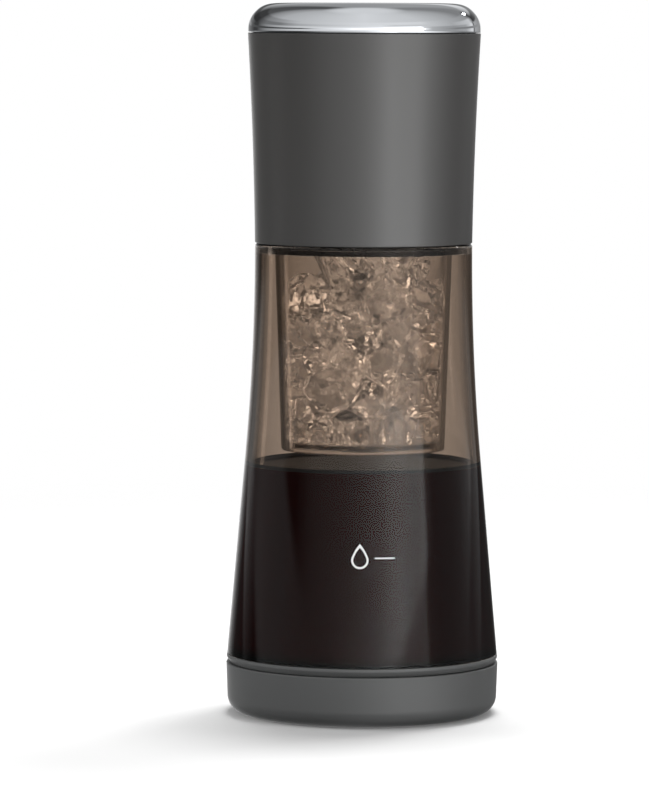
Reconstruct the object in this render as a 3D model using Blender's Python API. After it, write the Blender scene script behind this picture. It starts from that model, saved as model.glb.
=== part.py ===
"""Cold brew coffee maker: a tall tower of brew head, ice chamber and carafe on a weighted base.

Units are metres, +Z is up, the front faces -Y, and the origin is the centre of the face that the maker
stands on. Coffee steeps in the basket inside the head. Turning the bright cap opens the drain valve in
the head's floor, and the coffee runs over the ice and down into the carafe.
"""

import math

import bmesh
import bpy
from mathutils import Matrix, Vector

MM = 0.001

# Shared clearances and counts
GAP = 0.3 * MM
CUT_OVERRUN = 1.0 * MM
JOIN_OVERLAP = 0.4 * MM
ARC_ERROR = 0.15 * MM
ROUND_STEPS = 28
SMALL_ROUND_STEPS = 8
HOLE_STEPS = 6
SMOOTH_ANGLE = math.radians(35)

# Base cup: the moulded grey foot
BASE_RADIUS = 59.75 * MM
BASE_HEIGHT = 22.6 * MM
BASE_DRAFT = 0.8 * MM
BASE_FILLET = 7.6 * MM
BASE_WALL = 2.2 * MM
BASE_FLOOR = 2.8 * MM
BASE_RIM_ROUND = 0.5 * MM

# Foot ring: soft non-slip ring let into the underside
FOOT_PROUD = 0.3 * MM
FOOT_DEPTH = 1.4 * MM
FOOT_WIDTH = 5.4 * MM
FOOT_MARGIN = 1.2 * MM

# Ballast plate: keeps the tall tower from tipping
WEIGHT_THICKNESS = 6.0 * MM
WEIGHT_MARGIN = 6.0 * MM
WEIGHT_BORE_RADIUS = 18.0 * MM
WEIGHT_RIB_HEIGHT = 3.5 * MM
WEIGHT_RIB_WIDTH = 1.6 * MM
WEIGHT_RIB_MARGIN = 2.0 * MM

# Base screws and the bosses they run through
SCREW_COUNT = 3
SCREW_RADIUS = 1.5 * MM
SCREW_HEAD_RADIUS = 3.1 * MM
SCREW_HEAD_HEIGHT = 2.0 * MM
SCREW_LENGTH = 11.0 * MM
SCREW_SEAT_THICKNESS = 2.6 * MM
SCREW_SINK = 0.6 * MM
BOSS_WALL = 1.8 * MM
POST_RADIUS = 4.0 * MM
POST_SHOULDER = 2.0 * MM

# Collar: grey ring that joins the carafe to the base
COLLAR_HEIGHT = 3.5 * MM
COLLAR_WALL = 2.7 * MM
COLLAR_STEP = 0.35 * MM
COLLAR_INSET = 0.15 * MM
COLLAR_UNDERCUT = 1.2 * MM
COLLAR_WAIST_SHARE = 0.6
COLLAR_DECK = 2.2 * MM
COLLAR_TONGUE = 5.0 * MM
COLLAR_TONGUE_WALL = 2.2 * MM

# Carafe: smoky tumbler with a tapering wall
CARAFE_HEIGHT = 180.0 * MM
CARAFE_BEND_LENGTH = 92.0 * MM
CARAFE_WALL = 2.9 * MM
CARAFE_FLOOR = 3.0 * MM
CARAFE_SPIGOT = 3.0 * MM
CARAFE_FLOOR_FILLET = 6.0 * MM
CARAFE_RIM_STRAIGHT = 1.7 * MM
CARAFE_RIM_ROUND = 0.8 * MM
CARAFE_BEND_STEPS = 4
MOUTH_WALL = 1.7 * MM
MOUTH_DEPTH = 4.1 * MM

# Ice chamber: hanger ring, tapered tube and drain floor
HANGER_HEIGHT = 2.1 * MM
HANGER_SHELF = 0.8 * MM
HANGER_WALL = 2.3 * MM
TUBE_LENGTH = 88.7 * MM
TUBE_CLEARANCE = 5.8 * MM
TUBE_TAPER = 3.0 * MM
TUBE_WALL = 2.0 * MM
TUBE_TOE = 1.7 * MM
TUBE_TOE_WIDTH = 2.2 * MM
STRAINER_THICKNESS = 2.0 * MM
STRAINER_HOLE_RADIUS = 2.2 * MM
STRAINER_MARGIN = 3.0 * MM
STRAINER_RINGS = (1, 6, 12)

# Head shell: tall grey casing that flares towards the top
HEAD_HEIGHT = 91.6 * MM
HEAD_TOP_RADIUS = 50.9 * MM
HEAD_FLARE = 3.3 * MM
HEAD_FLARE_RADIUS = 2130.0 * MM
HEAD_FLARE_STEPS = 3
HEAD_LINING_STEPS = 2
HEAD_WALL = 2.4 * MM
HEAD_FLOOR = 2.2 * MM
HEAD_EDGE_ROUND = 0.8 * MM
HEAD_MOUTH_WALL = 1.7 * MM

# Head seal: black ring between the head and the carafe mouth
SEAL_WIDTH = 4.3 * MM
SEAL_ROUND = 0.4 * MM

# Brew chamber: inner cup of the head, with the drain spout below it
CHAMBER_AIR_GAP = 2.0 * MM
CHAMBER_WALL = 2.0 * MM
CHAMBER_FLOOR = 2.5 * MM
CHAMBER_FLANGE = 2.0 * MM
CHAMBER_SHELF = 1.9 * MM
SPOUT_WALL = 2.0 * MM
SPOUT_TOE = 1.6 * MM
SPOUT_TOE_WIDTH = 1.4 * MM

# Drip plate: spreads the coffee over the ice
DRIP_PLATE_THICKNESS = 2.0 * MM
DRIP_SPACE = 3.3 * MM
DRIP_HOLE_RADIUS = 1.6 * MM
DRIP_MARGIN = 3.4 * MM
DRIP_RINGS = (1, 6, 12)

# Drain valve: fixed soft seat and turning disc, both with three sector ports
PORT_COUNT = 3
PORT_ANGLE = math.radians(50)
PORT_CENTRE_ANGLE = math.radians(30)
VALVE_TURN = math.radians(60)
PORT_ARC_STEPS = 5
PORT_MARGIN = 4.0 * MM
PORT_INNER_RADIUS = 14.0 * MM
SEAT_THICKNESS = 1.5 * MM
DISC_THICKNESS = 3.0 * MM
SOCKET_HEIGHT = 3.1 * MM
SOCKET_WALL = 3.0 * MM

# Drive shaft: hexagonal rod from the cap to the valve
SHAFT_FLATS = 7.0 * MM
SHAFT_CLEARANCE = 0.3 * MM
SHAFT_TIP = 0.6 * MM
SHAFT_SCREW_RADIUS = 1.6 * MM
SHAFT_SCREW_HEAD_RADIUS = 3.6 * MM
SHAFT_SCREW_HEAD_HEIGHT = 2.2 * MM
SHAFT_SCREW_LENGTH = 9.0 * MM

# Filter basket: ribbed frame, side mesh and floor mesh
BASKET_CLEARANCE = 0.5 * MM
BASKET_RING_WIDTH = 4.0 * MM
BASKET_RING_HEIGHT = 3.0 * MM
BASKET_RIB_DEPTH = 1.2 * MM
BASKET_RIB_WIDTH = 4.0 * MM
BASKET_RIB_COUNT = 6
BASKET_SPOKE_HEIGHT = 2.0 * MM
BASKET_SPOKE_WIDTH = 3.0 * MM
BASKET_TUBE_WALL = 1.6 * MM
BASKET_TUBE_CLEARANCE = 0.6 * MM
BASKET_HEADROOM = 0.4 * MM
MESH_THICKNESS = 0.5 * MM
TAB_LENGTH = 3.4 * MM
TAB_WIDTH = 14.0 * MM
TAB_THICKNESS = 2.0 * MM

# Lid plug: stopper that closes the brew chamber and carries the cap
PLUG_DEPTH = 10.7 * MM
PLUG_FLANGE = 2.3 * MM
PLUG_WALL = 2.0 * MM
PLUG_WEB = 2.0 * MM
PLUG_CLEARANCE = 0.9 * MM
PLUG_HUB_WALL = 3.6 * MM
PLUG_VENT_RADIUS = 1.5 * MM
PLUG_KEY_WIDTH = 6.0 * MM
PLUG_KEY_DEPTH = 1.6 * MM
PLUG_KEY_LENGTH = 3.0 * MM
STOP_RIB_THICKNESS = 2.0 * MM
STOP_RIB_SHARE = 0.75

# Lid seal and shaft ring
LID_SEAL_HEIGHT = 2.0 * MM
LID_SEAL_BITE = 1.9 * MM
ORING_WIRE_RADIUS = 0.9 * MM
ORING_STEPS = 8

# Knob hub: carries the bright cap and grips the shaft
HUB_DISC = 2.4 * MM
HUB_BOSS_RADIUS = 7.0 * MM
HUB_TOP_HEIGHT = 2.0 * MM
HUB_TOP_WALL = 1.9 * MM
HUB_TAIL = 0.8 * MM
HUB_FIN_THICKNESS = 2.4 * MM
HUB_FIN_DEPTH = 6.0 * MM
HUB_FIN_LENGTH = 8.0 * MM
HUB_FIN_SHARE = 0.36
CLIP_THICKNESS = 0.8 * MM
CLIP_BITE = 1.1 * MM
CLIP_WIDTH = 2.8 * MM
CLIP_OPENING = math.radians(70)

# Bright cap: plated shell that forms the round top and is turned by hand
CAP_HEIGHT = 13.1 * MM
CAP_FILLET = 12.0 * MM
CAP_DOME = 0.6 * MM
CAP_WALL = 1.8 * MM
CAP_SHOULDER = 1.5 * MM
CAP_EDGE_ROUND = 0.3 * MM

# Heights of the stack, from the table up
base_underside = FOOT_PROUD
base_floor_top = base_underside + BASE_FLOOR
weight_bottom = base_floor_top + WEIGHT_RIB_HEIGHT + GAP
weight_top = weight_bottom + WEIGHT_THICKNESS
collar_bottom = BASE_HEIGHT + GAP
collar_top = collar_bottom + COLLAR_HEIGHT
carafe_shoulder = collar_top + GAP
carafe_underside = carafe_shoulder - CARAFE_SPIGOT
carafe_floor_top = carafe_underside + CARAFE_FLOOR
deck_top = carafe_underside - GAP
deck_bottom = deck_top - COLLAR_DECK
rim_top = carafe_shoulder + CARAFE_HEIGHT
neck_height = rim_top - CARAFE_RIM_STRAIGHT
ledge_height = rim_top - MOUTH_DEPTH
hanger_bottom = ledge_height + GAP
hanger_top = hanger_bottom + HANGER_HEIGHT
tube_bottom = hanger_top - TUBE_LENGTH
head_bottom = rim_top + GAP
head_top = head_bottom + HEAD_HEIGHT
cap_bottom = head_top + GAP
cap_top = cap_bottom + CAP_HEIGHT
spout_bottom = hanger_top + GAP
drip_plate_bottom = spout_bottom + SPOUT_TOE + GAP
drip_plate_top = drip_plate_bottom + DRIP_PLATE_THICKNESS
chamber_underside = drip_plate_top + DRIP_SPACE
chamber_floor_top = chamber_underside + CHAMBER_FLOOR
seat_bottom = chamber_floor_top + GAP
disc_bottom = seat_bottom + SEAT_THICKNESS + GAP
disc_top = disc_bottom + DISC_THICKNESS
socket_top = disc_top + SOCKET_HEIGHT
shelf_height = socket_top
basket_bottom = shelf_height + GAP
plug_flange_top = head_top - GAP
plug_flange_bottom = plug_flange_top - PLUG_FLANGE
chamber_flange_top = plug_flange_bottom - GAP
chamber_flange_bottom = chamber_flange_top - CHAMBER_FLANGE
shell_ledge = chamber_flange_bottom - GAP
plug_bottom = plug_flange_bottom - PLUG_DEPTH
basket_top = plug_bottom - BASKET_HEADROOM - TAB_LENGTH
hub_disc_bottom = plug_flange_top + GAP
hub_disc_top = hub_disc_bottom + HUB_DISC
hub_top = hub_disc_top + HUB_TOP_HEIGHT
clip_top = plug_bottom - GAP
clip_bottom = clip_top - CLIP_THICKNESS
hub_tail = clip_bottom - GAP - HUB_TAIL

# Radii that neighbours share
neck_radius = HEAD_TOP_RADIUS - HEAD_FLARE
carafe_foot_radius = BASE_RADIUS - COLLAR_STEP
carafe_mouth_radius = neck_radius - CARAFE_WALL
mouth_land_radius = neck_radius - MOUTH_WALL
spigot_radius = carafe_foot_radius - COLLAR_WALL - GAP
tube_top_radius = carafe_mouth_radius - TUBE_CLEARANCE
hanger_radius = mouth_land_radius - GAP
spout_radius = mouth_land_radius - GAP - SEAL_WIDTH - GAP
spout_bore = spout_radius - SPOUT_WALL
port_outer = spout_bore - PORT_MARGIN
base_flat_radius = BASE_RADIUS - BASE_DRAFT - BASE_FILLET
base_inner_radius = BASE_RADIUS - BASE_DRAFT - BASE_WALL
weight_radius = base_inner_radius - WEIGHT_MARGIN
screw_circle = (weight_radius + WEIGHT_BORE_RADIUS) / 2
screw_hole_radius = SCREW_RADIUS + GAP
screw_recess_radius = SCREW_HEAD_RADIUS + GAP
head_seat_height = base_underside + SCREW_SINK + SCREW_HEAD_HEIGHT
boss_top = head_seat_height + SCREW_SEAT_THICKNESS
socket_flats = SHAFT_FLATS + 2 * SHAFT_CLEARANCE
plug_bore = HUB_BOSS_RADIUS + GAP
plug_hub_radius = plug_bore + PLUG_HUB_WALL
cap_inner_radius = HEAD_TOP_RADIUS - CAP_WALL
hub_radius = cap_inner_radius - GAP
carafe_bend_height = neck_height - CARAFE_BEND_LENGTH


def carafe_flank_angle():
    """Lean of the straight lower wall, at which it runs into the arc below the neck with no kink.

    The wall has to spread from the neck to the foot. An arc of lean a over the bend length spreads
    bend length * tan(a / 2), and the straight wall below it spreads its height * tan(a). The sum grows
    with a, so the angle is found by halving.
    """
    spread = carafe_foot_radius - neck_radius
    straight = carafe_bend_height - carafe_shoulder
    low, high = -math.pi / 4, math.pi / 4
    for _ in range(50):
        angle = (low + high) / 2
        if CARAFE_BEND_LENGTH * math.tan(angle / 2) + straight * math.tan(angle) < spread:
            low = angle
        else:
            high = angle
    return angle


carafe_lean = carafe_flank_angle()


def carafe_radius(height):
    """Outside radius of the carafe wall at a height: straight below the bend, an arc above it."""
    if height >= neck_height:
        return neck_radius
    if height <= carafe_bend_height:
        return carafe_foot_radius - (height - carafe_shoulder) * math.tan(carafe_lean)
    turned = math.asin((neck_height - height) / CARAFE_BEND_LENGTH * math.sin(carafe_lean))
    return neck_radius + (neck_height - height) * math.tan(turned / 2)


def head_radius(height):
    """Outside radius of the head shell: an arc through its lower and upper edge, hollow to the outside."""
    chord = math.hypot(HEAD_FLARE, HEAD_HEIGHT)
    middle_radius = (HEAD_TOP_RADIUS + neck_radius) / 2
    middle_height = (head_bottom + head_top) / 2
    offset = math.sqrt(HEAD_FLARE_RADIUS ** 2 - (chord / 2) ** 2)
    centre_radius = middle_radius + offset * HEAD_HEIGHT / chord
    centre_height = middle_height - offset * HEAD_FLARE / chord
    return centre_radius - math.sqrt(HEAD_FLARE_RADIUS ** 2 - (height - centre_height) ** 2)


def chamber_outer(height):
    """Outside radius of the brew chamber, which follows the shell at an even air gap."""
    return head_radius(height) - HEAD_WALL - CHAMBER_AIR_GAP


def chamber_inner(height):
    """Inside radius of the brew chamber."""
    return chamber_outer(height) - CHAMBER_WALL


def tube_radius(height):
    """Outside radius of the ice tube, tapering evenly to its toe."""
    share = (hanger_top - height) / TUBE_LENGTH
    return tube_top_radius - share * TUBE_TAPER


valve_well_radius = chamber_inner(shelf_height) - CHAMBER_SHELF
disc_radius = valve_well_radius - GAP
basket_radius = min(chamber_inner(basket_bottom), chamber_inner(basket_top)) - BASKET_CLEARANCE
basket_bore = basket_radius - BASKET_RING_WIDTH
mesh_radius = basket_radius - BASKET_RIB_DEPTH - GAP
basket_tube_bore = SHAFT_FLATS / math.sqrt(3) + BASKET_TUBE_CLEARANCE
basket_tube_radius = basket_tube_bore + BASKET_TUBE_WALL
plug_radius = chamber_inner(plug_bottom) - PLUG_CLEARANCE
flange_radius = head_radius(shell_ledge) - HEAD_MOUTH_WALL - GAP
lid_seal_bottom = (plug_bottom + plug_flange_bottom) / 2 - LID_SEAL_HEIGHT / 2


def evenly(low, high, count):
    """Evenly spaced values, both ends included."""
    return [low + (high - low) * step / count for step in range(count + 1)]


def rounded(corners):
    """A closed outline from (radius, height) corners; a third value rounds that corner with an arc."""
    points = []
    for index, corner in enumerate(corners):
        here = Vector(corner[:2])
        if len(corner) < 3:
            points.append(here)
            continue
        before = (Vector(corners[index - 1][:2]) - here).normalized()
        after = (Vector(corners[(index + 1) % len(corners)][:2]) - here).normalized()
        half = before.angle(after) / 2
        reach = corner[2] / math.tan(half)
        centre = here + (before + after).normalized() * corner[2] / math.sin(half)
        start = here + before * reach - centre
        turn = start.angle_signed(here + after * reach - centre)
        swing = 2 * math.acos(max(0.0, 1 - ARC_ERROR / corner[2]))
        steps = math.ceil(abs(turn) / swing)
        for step in range(steps + 1):
            points.append(centre + Matrix.Rotation(-turn * step / steps, 2) @ start)
    return points


def plastic(name, colour, roughness, transmission=0.0, metallic=0.0):
    """A Principled surface from a linear colour."""
    made = bpy.data.materials.new(name)
    made.use_nodes = True
    shader = made.node_tree.nodes["Principled BSDF"]
    shader.inputs["Base Color"].default_value = (*colour, 1.0)
    shader.inputs["Roughness"].default_value = roughness
    shader.inputs["Metallic"].default_value = metallic
    shader.inputs["Transmission Weight"].default_value = transmission
    return made


def group(name, height):
    """An empty on a joint's axis, which carries the pieces that move together."""
    empty = bpy.data.objects.new(name, None)
    empty.location = (0.0, 0.0, height)
    bpy.context.scene.collection.objects.link(empty)
    return empty


def finish(name, shape, look, carrier):
    """Turns a bmesh built in world coordinates into an object whose origin is its carrier's."""
    bmesh.ops.remove_doubles(shape, verts=shape.verts, dist=GAP / 100)
    bmesh.ops.recalc_face_normals(shape, faces=shape.faces)
    mesh = bpy.data.meshes.new(name)
    shape.to_mesh(mesh)
    shape.free()
    mesh.transform(Matrix.Translation(-carrier.location))
    mesh.shade_smooth()
    mesh.set_sharp_from_angle(angle=SMOOTH_ANGLE)
    if look is not None:
        mesh.materials.append(look)
    made = bpy.data.objects.new(name, mesh)
    bpy.context.scene.collection.objects.link(made)
    made.parent = carrier
    return made


def revolve(name, outline, look, carrier, steps=ROUND_STEPS):
    """Spins a closed outline of (radius, height) points round the Z axis."""
    shape = bmesh.new()
    points = [shape.verts.new((point[0], 0.0, point[1])) for point in outline]
    edges = [shape.edges.new((points[i - 1], points[i])) for i in range(len(points))]
    bmesh.ops.spin(shape, geom=points + edges, axis=(0, 0, 1), cent=(0, 0, 0),
                   angle=math.tau, steps=steps, use_merge=True)
    return finish(name, shape, look, carrier)


def ring(name, inner, outer, bottom, top, look, carrier, steps=ROUND_STEPS):
    """A plain ring of rectangular section."""
    outline = [(inner, bottom), (outer, bottom), (outer, top), (inner, top)]
    return revolve(name, outline, look, carrier, steps)


def extruded(shape, flat, bottom, top):
    """Adds a closed prism to a bmesh from a flat outline of (x, y) points."""
    low = [shape.verts.new((point[0], point[1], bottom)) for point in flat]
    face = shape.faces.new(low)
    made = bmesh.ops.extrude_face_region(shape, geom=[face])
    raised = [part for part in made["geom"] if isinstance(part, bmesh.types.BMVert)]
    bmesh.ops.translate(shape, verts=raised, vec=(0.0, 0.0, top - bottom))


def circle(radius, centre=(0.0, 0.0), sides=SMALL_ROUND_STEPS):
    """Points of a regular polygon whose corners lie on a circle."""
    angles = [math.tau * step / sides for step in range(sides)]
    return [(centre[0] + radius * math.cos(a), centre[1] + radius * math.sin(a)) for a in angles]


def hexagon(flats):
    """Points of a hexagon with this distance across its flats."""
    return circle(flats / math.sqrt(3), sides=6)


def plate(angle, inner, outer, thickness):
    """Flat outline of a straight plate that runs out from the axis at an angle."""
    half = thickness / 2
    corners = [(inner, -half), (outer, -half), (outer, half), (inner, half)]
    turn = Matrix.Rotation(angle, 2)
    return [tuple(turn @ Vector(corner)) for corner in corners]


def sector(angle):
    """Flat outline of a drain port: a ring sector centred on an angle."""
    angles = evenly(angle - PORT_ANGLE / 2, angle + PORT_ANGLE / 2, PORT_ARC_STEPS)
    far = [(port_outer * math.cos(a), port_outer * math.sin(a)) for a in angles]
    near = [(PORT_INNER_RADIUS * math.cos(a), PORT_INNER_RADIUS * math.sin(a)) for a in reversed(angles)]
    return far + near


def prisms(name, outlines, bottom, top, carrier, look=None):
    """One object of separate prisms, for use as a cutter or as stock that is joined on."""
    shape = bmesh.new()
    for flat in outlines:
        extruded(shape, flat, bottom, top)
    return finish(name, shape, look, carrier)


def apply_boolean(target, tool, operation):
    """Adds a Boolean with the tool and keeps the tool out of the render."""
    modifier = target.modifiers.new(operation.lower() + "_" + tool.name, "BOOLEAN")
    modifier.operation = operation
    modifier.object = tool
    modifier.solver = "EXACT"
    tool.hide_render = True
    tool.display_type = "WIRE"


def cut(target, tool):
    apply_boolean(target, tool, "DIFFERENCE")


def join(target, tool):
    apply_boolean(target, tool, "UNION")


def hole_rings(counts, reach):
    """Centres of holes laid out in evenly spaced rings, the last of them at the reach."""
    places = []
    for index, count in enumerate(counts):
        radius = reach * index / (len(counts) - 1)
        angles = [math.tau * (step + 0.5) / count for step in range(count)]
        places += [(radius * math.cos(a), radius * math.sin(a)) for a in angles]
    return places


def angles_around(count, first):
    """Angles evenly spaced round the axis."""
    return [first + math.tau * step / count for step in range(count)]


def build_base(look, steel, rubber, places, carrier):
    """Base cup with ribs and bosses, foot ring, ballast plate and base screws."""
    lower_radius = BASE_RADIUS - BASE_DRAFT
    foot_outer = base_flat_radius - FOOT_MARGIN
    foot_inner = foot_outer - FOOT_WIDTH
    groove_top = base_underside + FOOT_DEPTH + GAP
    inner_fillet = BASE_FILLET - BASE_WALL
    outline = rounded([
        (0.0, base_underside),
        (foot_inner - GAP, base_underside),
        (foot_inner - GAP, groove_top),
        (foot_outer + GAP, groove_top),
        (foot_outer + GAP, base_underside),
        (lower_radius, base_underside, BASE_FILLET),
        (BASE_RADIUS, BASE_HEIGHT, BASE_RIM_ROUND),
        (BASE_RADIUS - BASE_WALL, BASE_HEIGHT),
        (base_inner_radius, base_floor_top, inner_fillet),
        (0.0, base_floor_top),
    ])
    base_cup = revolve("base_cup", outline, look, carrier)

    rib_outer = weight_radius - WEIGHT_RIB_MARGIN
    rib_top = base_floor_top + WEIGHT_RIB_HEIGHT
    rib = ring("weight_rib", rib_outer - WEIGHT_RIB_WIDTH, rib_outer, base_floor_top - JOIN_OVERLAP,
               rib_top, look, carrier)
    join(base_cup, rib)
    boss_radius = screw_recess_radius + BOSS_WALL
    bosses = prisms("base_bosses", [circle(boss_radius, place) for place in places],
                    base_floor_top - JOIN_OVERLAP, boss_top, carrier, look)
    join(base_cup, bosses)
    recesses = prisms("head_recesses", [circle(screw_recess_radius, place) for place in places],
                      base_underside - CUT_OVERRUN, head_seat_height, carrier)
    cut(base_cup, recesses)
    holes = prisms("screw_holes", [circle(screw_hole_radius, place) for place in places],
                   head_seat_height - CUT_OVERRUN, boss_top + CUT_OVERRUN, carrier)
    cut(base_cup, holes)

    foot_outline = rounded([
        (foot_inner, 0.0, FOOT_PROUD / 2),
        (foot_outer, 0.0, FOOT_PROUD / 2),
        (foot_outer, base_underside + FOOT_DEPTH),
        (foot_inner, base_underside + FOOT_DEPTH),
    ])
    revolve("foot_ring", foot_outline, rubber, carrier)

    weight = ring("base_weight", WEIGHT_BORE_RADIUS, weight_radius, weight_bottom, weight_top,
                  steel, carrier)
    post_holes = prisms("post_holes", [circle(POST_RADIUS + 2 * GAP, place) for place in places],
                        weight_bottom - CUT_OVERRUN, weight_top + CUT_OVERRUN, carrier)
    cut(weight, post_holes)

    head_bottom_face = head_seat_height - GAP - SCREW_HEAD_HEIGHT
    for number, place in enumerate(places, 1):
        screw_outline = rounded([
            (0.0, head_bottom_face),
            (SCREW_HEAD_RADIUS, head_bottom_face, SCREW_HEAD_HEIGHT / 4),
            (SCREW_HEAD_RADIUS, head_seat_height - GAP),
            (SCREW_RADIUS, head_seat_height - GAP),
            (SCREW_RADIUS, head_seat_height - GAP + SCREW_LENGTH),
            (0.0, head_seat_height - GAP + SCREW_LENGTH + SCREW_RADIUS),
        ])
        screw = revolve(f"base_screw_{number}", screw_outline, steel, carrier, SMALL_ROUND_STEPS)
        screw.location = (place[0], place[1], 0.0)


def build_collar(look, places, carrier):
    """Collar ring with the deck under the carafe, the tongue inside the base cup and three screw posts."""
    lower_radius = BASE_RADIUS - COLLAR_INSET
    waist_height = collar_bottom + COLLAR_HEIGHT * COLLAR_WAIST_SHARE
    bore = spigot_radius + GAP
    tongue_radius = base_inner_radius - GAP
    tongue_bottom = collar_bottom - COLLAR_TONGUE
    outline = [
        (0.0, deck_bottom),
        (tongue_radius - COLLAR_TONGUE_WALL, deck_bottom),
        (tongue_radius - COLLAR_TONGUE_WALL, tongue_bottom),
        (tongue_radius, tongue_bottom),
        (tongue_radius, collar_bottom),
        (lower_radius - COLLAR_UNDERCUT, collar_bottom),
        (lower_radius, waist_height),
        (carafe_foot_radius, collar_top),
        (bore, collar_top),
        (bore, deck_top),
        (0.0, deck_top),
    ]
    collar = revolve("base_collar", outline, look, carrier)
    shoulder_height = weight_top + GAP
    shoulders = prisms("post_shoulders", [circle(POST_RADIUS + POST_SHOULDER, place) for place in places],
                       shoulder_height, deck_bottom + JOIN_OVERLAP, carrier, look)
    join(collar, shoulders)
    posts = prisms("posts", [circle(POST_RADIUS, place) for place in places],
                   boss_top + GAP, shoulder_height + JOIN_OVERLAP, carrier, look)
    join(collar, posts)
    bore_top = head_seat_height + SCREW_LENGTH + SCREW_RADIUS + GAP
    pilots = prisms("pilot_holes", [circle(screw_hole_radius, place) for place in places],
                    boss_top - CUT_OVERRUN, bore_top, carrier)
    cut(collar, pilots)


def build_carafe(look, carrier):
    """The smoky carafe: spigot, tapering wall, seal land and hanger ledge in the mouth."""
    bend = evenly(carafe_bend_height, neck_height, CARAFE_BEND_STEPS)
    outside = [(carafe_radius(height), height) for height in bend]
    inner_bend = evenly(carafe_bend_height, ledge_height, CARAFE_BEND_STEPS)
    inside = [(carafe_radius(height) - CARAFE_WALL, height) for height in reversed(inner_bend)]
    outline = rounded([
        (0.0, carafe_underside),
        (spigot_radius, carafe_underside),
        (spigot_radius, carafe_shoulder),
        (carafe_foot_radius, carafe_shoulder),
        *outside,
        (neck_radius, rim_top, CARAFE_RIM_ROUND),
        (mouth_land_radius, rim_top),
        (mouth_land_radius, ledge_height),
        *inside,
        (carafe_radius(carafe_floor_top) - CARAFE_WALL, carafe_floor_top, CARAFE_FLOOR_FILLET),
        (0.0, carafe_floor_top),
    ])
    revolve("carafe", outline, look, carrier)


def build_ice_chamber(clear, black, carrier):
    """Hanger ring that sits on the carafe's ledge, the tapered tube in it and its drain floor."""
    lip_bottom = hanger_bottom + HANGER_SHELF + GAP
    hanger_bore = tube_radius(hanger_bottom) + 2 * GAP
    lip_radius = hanger_radius - HANGER_WALL - GAP
    hanger_outline = [
        (hanger_bore, hanger_bottom),
        (hanger_radius, hanger_bottom),
        (hanger_radius, hanger_top),
        (hanger_radius - HANGER_WALL, hanger_top),
        (hanger_radius - HANGER_WALL, lip_bottom - GAP),
        (hanger_bore, lip_bottom - GAP),
    ]
    revolve("tube_hanger", hanger_outline, black, carrier)

    toe_top = tube_bottom + TUBE_TOE
    tube_outline = rounded([
        (tube_radius(tube_bottom) - TUBE_WALL - TUBE_TOE_WIDTH, tube_bottom),
        (tube_radius(tube_bottom), tube_bottom, TUBE_TOE / 2),
        (tube_radius(lip_bottom), lip_bottom),
        (lip_radius, lip_bottom),
        (lip_radius, hanger_top),
        (tube_radius(hanger_top) - TUBE_WALL, hanger_top),
        (tube_radius(toe_top) - TUBE_WALL, toe_top),
        (tube_radius(tube_bottom) - TUBE_WALL - TUBE_TOE_WIDTH, toe_top),
    ])
    revolve("ice_tube", tube_outline, clear, carrier)

    strainer_bottom = toe_top + GAP
    strainer_top = strainer_bottom + STRAINER_THICKNESS
    strainer_radius = tube_radius(strainer_bottom) - TUBE_WALL - GAP
    strainer = prisms("ice_strainer", [circle(strainer_radius, sides=ROUND_STEPS)],
                      strainer_bottom, strainer_top, carrier, clear)
    reach = strainer_radius - TUBE_TOE_WIDTH - STRAINER_MARGIN - STRAINER_HOLE_RADIUS
    centres = hole_rings(STRAINER_RINGS, reach)
    outlines = [circle(STRAINER_HOLE_RADIUS, centre, HOLE_STEPS) for centre in centres]
    holes = prisms("strainer_holes", outlines, strainer_bottom - CUT_OVERRUN,
                   strainer_top + CUT_OVERRUN, carrier)
    cut(strainer, holes)


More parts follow.
